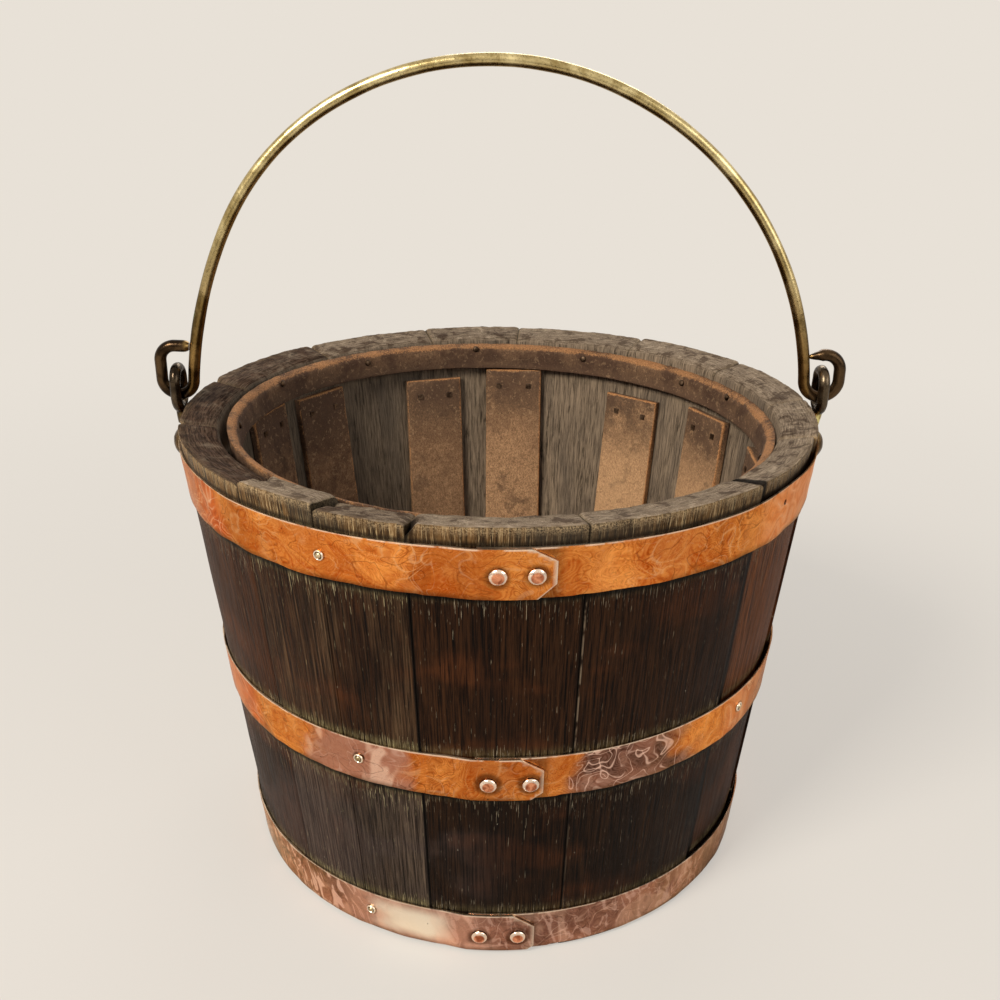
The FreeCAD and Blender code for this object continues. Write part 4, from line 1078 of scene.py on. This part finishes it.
class Hoop:
    """One hoop: its section is spun round, stepped out over its own end and cut at the tip."""

    def __init__(self, name):
        self.name, self.facts = name, HOOPS[name]
        self.low, self.high = self.facts["low"], self.facts["low"] + HOOP_WIDTH
        self.middle_radius = face_radius((self.low + self.high) / 2)
        end = Matrix.Rotation(math.radians(self.facts["tip"]), 4, "Z")
        self.along_sheet = end @ Vector((0, 1, 0))
        self.tip = end @ Vector((self.middle_radius, 0, 0))
        self.cuts = [self.corner(self.high, self.facts["top_cut"], CUT_RUN, 1),
                     self.corner(self.low, self.facts["bottom_cut"], CUT_RUN * self.facts["bottom_run"], -1)]
        self.piece = self.bend_round()
        self.work_surface()

    def corner(self, height, share, run, up):
        """The plane that cuts a corner off the tip: a point of it and the way that it faces."""
        point = Vector((self.tip.x, self.tip.y, height - up * HOOP_WIDTH * share))
        return point, (self.along_sheet * share * HOOP_WIDTH + Vector((0, 0, up)) * run).normalized()

    def on_lap(self, co):
        """Whether a place is on the end that lies over."""
        angle, radius = polar(co)
        over = face_radius(co.z) + HOOP_GAP + HOOP_THICK + LAP_GAP / 2
        return self.facts["over"] - 1 < angle < self.facts["tip"] + 1 and radius > over

    def bend_round(self):
        """The clean sheet."""
        facts, low = self.facts, self.low
        piece = begin_section(self.name + "_hoop_band", HOOP_THICK, HOOP_WIDTH,
                              face_radius(low) + HOOP_GAP + HOOP_THICK / 2, low)
        pick(piece, "EDGE", lambda co: abs(co.z - (low + self.high) / 2) < 0.001)
        bpy.ops.mesh.subdivide(number_cuts=11)
        all_of_it()
        turn_to(facts["inner"])
        around = (facts["step"] - facts["inner"]) % 360
        spin(around, int(around))
        out = 1 + (HOOP_THICK + LAP_GAP) / self.middle_radius / LAP_STEPS
        for _ in range(LAP_STEPS):
            spin((facts["over"] - facts["step"]) / LAP_STEPS, 1)
            bpy.ops.transform.resize(value=(out, out, 1), center_override=(0, 0, 0))
        spin(facts["tip"] - facts["over"], 16)
        for point, normal in self.cuts:
            pick(piece, "FACE", self.on_lap)
            cut_off(point, normal)
        leave_edit()
        recalculate(piece)
        return piece

    def lap_free(self, co):
        """0 on the lap, where two sheets lie close, and 1 elsewhere."""
        return 0.0 if self.facts["step"] - 4 < polar(co)[0] < self.facts["tip"] + 3 else 1.0

    def flatten(self, angle_of_flat, half_width, depth):
        """Pull a stretch of the top hoop in, as where it bridges two staves."""
        for vertex in self.piece.data.vertices:
            angle, radius = polar(vertex.co)
            away = apart(angle, angle_of_flat) / half_width
            if away < 1:
                pull_in(vertex.co, radius, depth * (1 - away ** 2) ** 2 * clamp((vertex.co.z - 0.25) / 0.02))

    def bore(self, angle, share, radius=0.0016):
        """Drill the empty nail hole."""
        drill = begin("cylinder", "drill", vertices=20, radius=radius, depth=0.012)
        leave_edit()
        drill.data.transform(on_wall(angle, self.low + HOOP_WIDTH * share, -0.002))
        apply(self.piece, "BOOLEAN", object=drill, operation="DIFFERENCE", solver="EXACT")
        bpy.data.objects.remove(drill)

    def work_surface(self):
        """Flats, uneven sheet, a wavy lower edge, the hole and eased edges."""
        piece = self.piece
        weigh(piece, "sheet", self.lap_free)
        for flat in self.facts["flats"]:
            self.flatten(*flat)
        roughen(piece, 0.018, 0.0010, 2, "sheet", level=0.72)
        weigh(piece, "edge", lambda co: self.lap_free(co) * clamp(1 - (co.z - self.low) / 0.008))
        roughen(piece, 0.024, 0.0014, 1, "edge", "Z")
        if self.facts["hole"]:
            self.bore(*self.facts["hole"])
        round_edges(piece, 0.00028, 50)

    def worn_at(self, co):
        """Rubbed bright along the tip and its two cut corners."""
        if not self.on_lap(co):
            return 0.0
        gaps = [abs((co - point).dot(normal)) for point, normal in self.cuts]
        return clamp(1 - min(gaps + [abs((co - self.tip).dot(self.along_sheet))]) / 0.0007) * 0.8

    def dirt_and_shade_at(self, co):
        """Painted shade on the sheet under the lap, and a painted shadow just past its tip."""
        angle, _ = polar(co)
        tip = self.facts["tip"]
        if self.on_lap(co) or not self.facts["over"] < angle < tip + 2.5:
            return 0.0
        return clamp(1 - (angle - tip) / 1.2) if angle > tip else 1.0

    def finish(self, material):
        """Paint the hoop's marks and hand it over."""
        paint(self.piece, "wear_and_highlight", self.worn_at)
        # painted shade under the lap and painted shadow past its tip
        paint(self.piece, "dirt_and_shade", self.dirt_and_shade_at)
        smooth(self.piece, 35)
        finish_piece(self.piece, material, "bucket", "hoop_copper", self.name + "_hoop")


# Rivets, tacks and nails

def from_axis(co):
    """Distance from the middle of a head."""
    return math.hypot(co.x, co.y)


def model_head(name, sides, radius, rings):
    """A head: a disc whose top is drawn in and up, or down, ring by ring."""
    piece = begin("cylinder", name, vertices=sides, radius=radius, depth=0.0006, location=(0, 0, 0.0003))
    for inset, rise in rings:
        pick(piece, "FACE", lambda co: co.z > 0.0002 and from_axis(co) < 0.0001)
        bpy.ops.mesh.inset(thickness=inset)
        shift(z=rise)
    leave_edit()
    return piece


def model_rivet():
    """A rivet head: a round dome with a painted highlight towards its rim and painted shade at its foot."""
    piece = model_head("rivet_head", 32, 0.0046,
                       ((0.00035, 0.00055), (0.0008, 0.00055), (0.0011, 0.00038), (0.0012, 0.00020)))
    apply(piece, "SUBSURF", levels=2, render_levels=2)
    roughen(piece, 0.004, 0.0002, 1)
    # painted shade round the foot of the dome
    paint(piece, "dirt_and_shade", lambda co: clamp((0.0007 - co.z) / 0.0004))
    # painted highlight: a pale ring towards the rim
    paint(piece, "wear_and_highlight", lambda co: clamp((from_axis(co) - 0.0028) / 0.0006)
          * clamp((0.0050 - from_axis(co)) / 0.0006))
    smooth(piece, 70)
    return piece


def model_tack():
    """A tack: a flat rim, a groove and a small domed head."""
    piece = model_head("tack_head", 28, 0.0029,
                       ((0.00025, 0.00030), (0.00045, 0.0), (0.00030, -0.00040), (0.00020, 0.0),
                        (0.00020, 0.00060), (0.00050, 0.00025)))
    # dirt and painted shade in the groove round the dome
    paint(piece, "dirt_and_shade", lambda co: clamp(1 - abs(from_axis(co) - 0.0018) / 0.0004))
    paint(piece, "wear_and_highlight", lambda co: clamp((from_axis(co) - 0.0019) / 0.0003))
    smooth(piece, 45)
    return piece


def place_heads(master, hoop, kind, sheets, material, slot):
    """Copies of a head on a hoop, each turned its own way and seated on one sheet or on two."""
    facts, name = HOOPS[hoop], "%s_%s_heads" % (hoop, kind)
    height = facts["low"] + HOOP_WIDTH * (0.5 + facts[kind + "_share"])
    stand_off = HOOP_GAP + HOOP_THICK * sheets + LAP_GAP * (sheets - 1) - HEAD_SUNK
    heads = []
    for count, angle in enumerate(facts[kind + "s"]):
        own_turn = Matrix.Rotation(math.radians(70 * count + 20), 4, "Z")
        heads.append(copy_to(master, "%s_%d" % (name, count), on_wall(angle, height, stand_off) @ own_turn))
    finish_piece(join(heads, name), material, "bucket", slot, "%s_hoop_%ss" % (hoop, kind))


# Lining

def batten_frame(index):
    """Matrix of a batten: +X out of the wall, +Z up along it, at the foot of its back."""
    angle, lean = BATTENS[index][:2]
    inner = face_radius(BATTEN_FOOT) - WALL
    back = math.sqrt(inner ** 2 - (BATTEN_WIDTH / 2) ** 2) - FITTED
    return (Matrix.Rotation(math.radians(angle), 4, "Z") @ Matrix.Translation((back, 0, BATTEN_FOOT))
            @ Matrix.Rotation(LEAN, 4, "Y") @ Matrix.Rotation(math.radians(lean), 4, "X"))


def model_batten(index, material):
    """One board: a block with its worn edges bevelled, divided and roughened."""
    _, _, longer, age = BATTENS[index]
    length = (BATTEN_TOP + longer * BATTEN_SPREAD - BATTEN_FOOT) / math.cos(LEAN)
    piece = begin("cube", "batten_%02d_worn" % (index + 1), size=1,
                  scale=(BATTEN_THICK, BATTEN_WIDTH, length), location=(-BATTEN_THICK / 2, 0, length / 2))
    pick(piece, "EDGE", lambda co: co.x < -BATTEN_THICK / 2 - 0.001)
    bpy.ops.mesh.bevel(offset=0.0011, segments=3, affect="EDGES")
    divide_long(piece, 0.1, 69)
    divide_long(piece, 0.03, 12)
    leave_edit()

    def edge_at(co):
        side = BATTEN_WIDTH / 2 - abs(co.y)
        # wear, narrower on the +Y side as painted shade there
        side = side if co.y < 0 else side * 2.2 + 0.0004
        return clamp(1 - min(side, length - co.z) / 0.0024) * clamp((-co.x - 0.0030) / 0.0012)

    paint(piece, "wear_and_highlight", edge_at)
    paint(piece, "stain", lambda co: clamp((co.z - (length - 0.05)) / 0.04) * 0.9)
    paint(piece, "age", lambda co: age)
    piece.data.transform(batten_frame(index))
    weigh(piece, "face", lambda co: 1.0 if polar(co)[1] < face_radius(co.z) - WALL - 0.0015 else 0.0)
    roughen(piece, 0.004, 0.0006, 2, "face")
    smooth(piece, 45)
    finish_piece(piece, material, "bucket", "lining_board", "batten_%02d" % (index + 1))


def ring_matrix():
    """The ring's tilt up at the left and its shift."""
    middle = Vector((0, 0, RING_MIDDLE))
    turn = Matrix.Rotation(math.radians(RING_TILT), 4, "Y")
    tilt = Matrix.Translation(middle) @ turn @ Matrix.Translation(-middle)
    aim = Vector((math.cos(math.radians(30)), math.sin(math.radians(30)), 0))
    return Matrix.Translation(aim * RING_SHIFT) @ tilt


def ring_back(height):
    """Radius of the ring's outer face."""
    return face_radius(height) - WALL - FITTED - RING_SHIFT


def model_ring(material):
    """The bent board ring: its section is worn round at the top, divided and spun."""
    back_low = ring_back(RING_LOW)
    inner_edge = back_low - RING_THICK / 2
    piece = begin_section("liner_ring_worn", RING_THICK, RING_HIGH - RING_LOW, inner_edge, RING_LOW)
    pick(piece, "VERT", lambda co: co.z > RING_MIDDLE and co.x < inner_edge)
    shift(x=0.0004, z=-0.0022)
    ease(piece, 0.0030, 4, lambda co: co.z > RING_MIDDLE and co.x < inner_edge)
    ease(piece, 0.0010, 2, lambda co: co.z > RING_HIGH - 0.0003)
    ease(piece, 0.0006, 2, lambda co: co.z < RING_MIDDLE)
    divide_long(piece, 0.0035, 5)
    all_of_it()
    turn_to(RING_START)
    spin(RING_TURN, 400)
    leave_edit()
    recalculate(piece)

    def top_share(co):
        return clamp((co.z - 0.2640) / 0.004)

    def worn_at(co):
        depth = (back_low + SLOPE * (co.z - RING_LOW)) - polar(co)[1]
        top = clamp((co.z - (RING_HIGH - 0.0052)) / 0.0030)
        lip = clamp(1 - (co.z - RING_LOW) / 0.0009) * 0.45
        return max(top * (0.66 + 0.26 * clamp(depth / RING_THICK)), lip)

    weigh(piece, "top", top_share)
    roughen(piece, 0.0045, 0.0010, 2, "top", "Z")
    weigh(piece, "face", lambda co: 1 - top_share(co))
    roughen(piece, 0.010, 0.0006, 2, "face")
    paint(piece, "wear_and_highlight", worn_at)
    paint(piece, "stain", lambda co: clamp(0.75 - (co.z - RING_LOW) / 0.020))
    paint(piece, "age", lambda co: 0.95)
    piece.data.transform(ring_matrix())
    smooth(piece, 50)
    finish_piece(piece, material, "bucket", "lining_board", "liner_ring")


def model_ring_nails(material):
    """The ring's nails: flattened round heads, each turned its own way, pressed into the board."""
    master = begin("uv_sphere", "nail_head", segments=20, ring_count=10, radius=NAIL_RADIUS,
                   scale=(1, 1, 0.42))
    leave_edit()
    roughen(master, 0.0022, 0.0005, 1)
    # dirt and painted shade towards the edge of each head
    paint(master, "dirt_and_shade", lambda co: clamp((from_axis(co) - 0.0014) / 0.0006))
    smooth(master, 60)
    heads = []
    for count, (angle, share) in enumerate(RING_NAILS):
        height = RING_LOW + NAIL_HEIGHT + share * NAIL_SPREAD
        seat = ring_matrix() @ leaning(angle, height, ring_back(height) - RING_THICK)
        heads.append(copy_to(master, "ring_nail_%d" % count, seat @ Matrix.Rotation(count * 0.9, 4, "Z")))
    bpy.data.objects.remove(master)
    finish_piece(join(heads, "ring_nail_heads"), material, "bucket", "lining_nails", "ring_nails")


# Base

def model_base(material):
    """Three boards cut from one disc, with eased edges."""
    radius = face_radius(BASE_MIDDLE - BASE_THICK / 2) - WALL + GROOVE_DEPTH - GROOVE_GAP
    for name, seams in (("left", ((-BASE_SEAM, 1),)), ("middle", ((-BASE_SEAM, -1), (BASE_SEAM, 1))),
                        ("right", ((BASE_SEAM, -1),))):
        piece = begin("cylinder", "base_%s_worn" % name, vertices=96, radius=radius, depth=BASE_THICK,
                      location=(0, 0, BASE_MIDDLE))
        for place, side in seams:
            all_of_it()
            cut_off((place - side * 0.0001, 0, 0), (side, 0, 0))
        leave_edit()
        round_edges(piece, 0.0009, 40)
        smooth(piece, 40)
        finish_piece(piece, material, "bucket", "base_oak", "base_board_%s" % name)


# Ears

def model_link(reach, ring):
    """The eye: a ring of round bar, drawn out upwards to a long link."""
    link = begin("torus", "link", major_radius=ring, minor_radius=EYE_BAR, major_segments=48,
                 minor_segments=20, rotation=(0, math.pi / 2, 0), location=(reach, 0, HINGE_HEIGHT))
    pick(link, "VERT", lambda co: co.z > HINGE_HEIGHT + 0.00001)
    shift(z=EYE_STRETCH)
    leave_edit()
    return link


def model_leaf(seat):
    """The plate: a disc drawn up to a narrower neck, with its thickness."""
    leaf = begin("circle", "leaf", vertices=48, radius=PLATE_RADIUS, fill_type="NGON")
    pick(leaf, "VERT", lambda co: co.y > 0.004)
    shift(y=0.0052)
    bpy.ops.transform.resize(value=(0.62, 1, 1), center_override=(0, 0, 0))
    all_of_it()
    bpy.ops.mesh.extrude_region_move(TRANSFORM_OT_translate={"value": (0, 0, PLATE_THICK)})
    all_of_it()
    bpy.ops.mesh.normals_make_consistent(inside=False)
    leave_edit()
    leaf.data.transform(seat)
    return leaf


def model_neck(foot, head):
    """A round bar from the plate to the eye."""
    line = head - foot
    neck = begin("cylinder", "neck", vertices=24, radius=EYE_BAR, depth=line.length + NECK_BITE)
    leave_edit()
    turn = line.to_track_quat("Z", "Y").to_matrix().to_4x4()
    neck.data.transform(Matrix.Translation((foot + head) / 2) @ turn)
    return neck


def model_ear(side, material):
    """An ear: a long link, a neck and a leaf plate, grown together and smoothed like a casting."""
    ring, reach = ROD + FITTED + EYE_BAR, EAR_REACH[side]
    seat = on_wall(0, PLATE_HEIGHT, PLATE_GAP)
    link, leaf = model_link(reach, ring), model_leaf(seat)
    neck = model_neck(seat @ Vector((0, PLATE_NECK, EYE_BAR)), Vector((reach, 0, HINGE_HEIGHT - ring)))
    piece = join([link, leaf, neck], "ear_%s_cast" % side)
    apply(piece, "REMESH", mode="VOXEL", voxel_size=0.00042)
    apply(piece, "SMOOTH", factor=0.5, iterations=7)
    roughen(piece, 0.008, 0.0005, 1, level=0.9)
    if side == "left":
        piece.data.transform(Matrix.Rotation(math.pi, 4, "Z"))
    smooth(piece, 60)
    finish_piece(piece, material, "bucket", "ear_bronze", "ear_" + side)


def model_ear_rivet(side, angle, material):
    """The large domed nail head on an ear's plate."""
    piece = begin("uv_sphere", "ear_rivet_%s_head" % side, segments=40, ring_count=24, radius=EAR_HEAD_RADIUS,
                  scale=(1, 1, EAR_HEAD_RISE))
    all_of_it()
    cut_off((0, 0, 0), (0, 0, -1))
    leave_edit()
    round_edges(piece, 0.0005, 50)
    roughen(piece, 0.006, 0.0005, 1)
    piece.data.transform(on_wall(angle, PLATE_HEIGHT, PLATE_GAP + PLATE_THICK))
    smooth(piece, 50)
    finish_piece(piece, material, "bucket", "ear_bronze", "ear_rivet_" + side)


# Bail

def heading(angle):
    """Unit step in the bail's plane."""
    return Vector((math.cos(math.radians(angle)), 0, math.sin(math.radians(angle))))


def bent(place, angle, radius, turn):
    """Centre and end of a bend to the left for a turn over zero."""
    side = math.copysign(90, turn)
    centre = place + heading(angle + side) * radius
    return centre, centre + heading(angle - side + turn) * radius


class Rod:
    """A round rod drawn out of its last ring of vertices, as bent on a bench."""

    def __init__(self, name, place, angle, radius):
        self.piece = begin("circle", name, vertices=20, radius=radius, fill_type="NGON")
        leave_edit()
        turn = heading(angle).to_track_quat("Z", "Y").to_matrix().to_4x4()
        self.piece.data.transform(Matrix.Translation(place) @ turn)
        activate(self.piece)
        bpy.ops.object.mode_set(mode="EDIT")
        all_of_it()
        self.place, self.angle = Vector(place), angle

    def bend(self, radius, turn):
        """Bend to the left for a turn over zero."""
        centre, self.place = bent(self.place, self.angle, radius, turn)
        steps = max(3, int(abs(turn) / 2.5), int(abs(math.radians(turn)) * radius / 0.004))
        spin(turn, steps, centre, (0, -1, 0))
        self.angle += turn

    def run(self, length, taper=1.0):
        """Draw straight out, and thinner where a taper says."""
        step = heading(self.angle) * length
        bpy.ops.mesh.extrude_region_move(TRANSFORM_OT_translate={"value": step})
        self.place = self.place + step
        if taper != 1.0:
            bpy.ops.transform.resize(value=(taper,) * 3, center_override=self.place)

    def draw(self, steps):
        """Bend, or run straight where a step has no turn."""
        for size, turn in steps:
            if turn:
                self.bend(size, turn)
            else:
                self.run(size)

    def draw_tip(self, length, tapers):
        """Draw a tip in short runs, each thicker or thinner by a factor."""
        for share, factor in tapers:
            self.run(length * share, factor)


def right_tip():
    """Where the right hook ends and its heading there, walked from the foot of the right leg."""
    angle = 270 + LEAN_IN
    place = Vector((EAR_REACH["right"], 0, HINGE_HEIGHT + HOOK_RADIUS)) - heading(angle + 90) * HOOK_RADIUS
    for size, turn in RIGHT_HOOK + ((RIGHT_TIP, 0),):
        place = bent(place, angle, size, turn)[1] if turn else place + heading(angle) * size
        angle += turn
    return place, angle


def model_bail(material):
    """The bail: drawn from the right hook's tip, over the top and down to the left hook's tip."""
    place, angle = right_tip()
    rod = Rod("bail_rod", place, angle + 180, TIP_RADIUS)
    rod.draw_tip(RIGHT_TIP, RIGHT_TAPER)
    rod.draw([(size, -turn) for size, turn in reversed(RIGHT_HOOK)])
    rod.draw([(share * BAIL_SIZE, turn) for share, turn in BENDS])
    left_down = rod.angle % 360
    rod.run(LEFT_LEG)
    rod.bend(LEFT_RADIUS, -(180 + (left_down - 270)))
    rod.draw(LEFT_HOOK)
    rod.draw_tip(LEFT_TIP, LEFT_TAPER)
    leave_edit()
    piece = rod.piece
    recalculate(piece)
    roughen(piece, 0.030, 0.0005, 1, level=0.9)
    smooth(piece, 50)
    finish_piece(piece, material, "bail", "bail_brass", "bail_handle")


# Camera, floor and light

def add_camera():
    """The photograph's camera: its place, its direction and its lens."""
    data = bpy.data.cameras.new("camera")
    camera = bpy.data.objects.new("camera", data)
    bpy.context.scene.collection.objects.link(camera)
    turn = (Matrix.Rotation(math.radians(PAN), 4, "Z") @ Matrix.Rotation(math.radians(TILT), 4, "X")
            @ Matrix.Rotation(math.radians(ROLL), 4, "Z"))
    camera.matrix_world = Matrix.Translation(EYE) @ turn
    data.lens = LENS
    data.sensor_width = 36.0
    data.clip_start = 0.02
    bpy.context.scene.camera = camera


def add_lamp(name, place, aim, size, power, colour):
    """One soft box light."""
    data = bpy.data.lights.new(name, "AREA")
    data.shape = "RECTANGLE"
    data.size, data.size_y = size
    data.energy = power
    data.color = colour
    lamp = bpy.data.objects.new(name, data)
    lamp.location = place
    lamp.rotation_euler = (Vector(aim) - Vector(place)).to_track_quat("-Z", "Y").to_euler()
    bpy.context.scene.collection.objects.link(lamp)


def add_world():
    """Pale where the camera, a mirror or glass sees it, and a weak cool light elsewhere."""
    world = bpy.data.worlds.new("studio")
    bpy.context.scene.world = world
    world.use_nodes = True
    nodes = Nodes(world.node_tree)
    back = nodes.tree.nodes["Background"]
    back.inputs["Color"].default_value = srgb(*BACKDROP)
    back.inputs["Strength"].default_value = 1.0
    light = nodes.node("ShaderNodeBackground", None, {"Color": (0.86, 0.90, 1.0, 1.0), "Strength": 0.40})
    seen = nodes.node("ShaderNodeLightPath", output="Is Camera Ray")
    mirrored = seen.maths("MAXIMUM", seen.other("Is Glossy Ray"), seen.other("Is Transmission Ray"))
    either = seen.maths("MAXIMUM", seen, mirrored)
    choose = nodes.node("ShaderNodeMixShader", None, {0: either, 1: light, 2: Link(nodes, back.outputs[0])})
    nodes.feed(nodes.tree.nodes["World Output"].inputs["Surface"], choose)


def add_floor():
    """A wide pale floor that turns into the backdrop far out, and keeps the bucket's shadow."""
    floor = begin("circle", "floor", vertices=96, radius=60.0, fill_type="NGON")
    leave_edit()
    f = Finish("floor_pale")
    x, y, _ = f.place()
    glow = f.node("ShaderNodeEmission", None, {"Color": srgb(*BACKDROP), "Strength": 1.0})
    seen = f.node("ShaderNodeLightPath", output="Is Camera Ray")
    far = f.band((x * x + y * y) ** 0.5, 0.25, 1.3, 0.60, 1.0)
    f.done(srgb(196, 190, 181), 1.0, specular=0.0)
    blend = f.node("ShaderNodeMixShader", None, {0: seen * far, 1: Link(f, f.shader.outputs[0]), 2: glow})
    f.feed(f.tree.nodes["Material Output"].inputs["Surface"], blend)
    floor.data.materials.append(f.material)


# The whole scene

def main():
    """Camera, stage, finishes, then the bucket's pieces."""
    add_camera()
    add_world()
    add_floor()
    add_lamp("key", (-1.3, -1.5, 1.9), (0, 0, 0.15), (0.8, 0.8), 84, (1.0, 0.965, 0.91))
    add_lamp("fill", (1.7, -1.2, 1.1), (0, 0, 0.15), (1.4, 1.2), 14, (0.93, 0.96, 1.0))
    add_lamp("back", (0.4, 1.8, 1.6), (0, 0, 0.25), (1.4, 0.8), 18, (1.0, 0.98, 0.95))
    bpy.context.scene.view_settings.view_transform = "Standard"

    oak, board, bronze, base = OakFinish().finished(), board_finish(), bronze_finish(), base_finish()
    rivet = head_finish("rivet_copper", (158, 84, 52), (236, 158, 116), 0.12)
    tack = head_finish("tack_brass", (146, 118, 76), (232, 210, 168), 0.22)
    iron = head_finish("lining_nails", (60, 46, 36), (104, 84, 66), 0.42)

    for index in range(len(STAVES)):
        Stave(index).finish(oak)
    for index in range(len(BATTENS)):
        model_batten(index, board)
    model_ring(board)
    model_ring_nails(iron)
    model_base(base)

    rivet_head, tack_head = model_rivet(), model_tack()
    for name, facts in HOOPS.items():
        Hoop(name).finish(CopperFinish(name, facts).finished())
        place_heads(rivet_head, name, "rivet", 2, rivet, "rivet_copper")
        place_heads(tack_head, name, "tack", 1, tack, "tack_brass")
    bpy.data.objects.remove(rivet_head)
    bpy.data.objects.remove(tack_head)

    for side in EAR_REACH:
        model_ear(side, bronze)
    for side, angle in (("right", 0), ("left", 180)):
        model_ear_rivet(side, angle, bronze)
    model_bail(rod_finish())

    for name, material, slot in (("base_dowels", base, "base_oak"),
                                 ("batten_nails", iron, "lining_nails")):
        coat(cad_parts[name], material)


main()
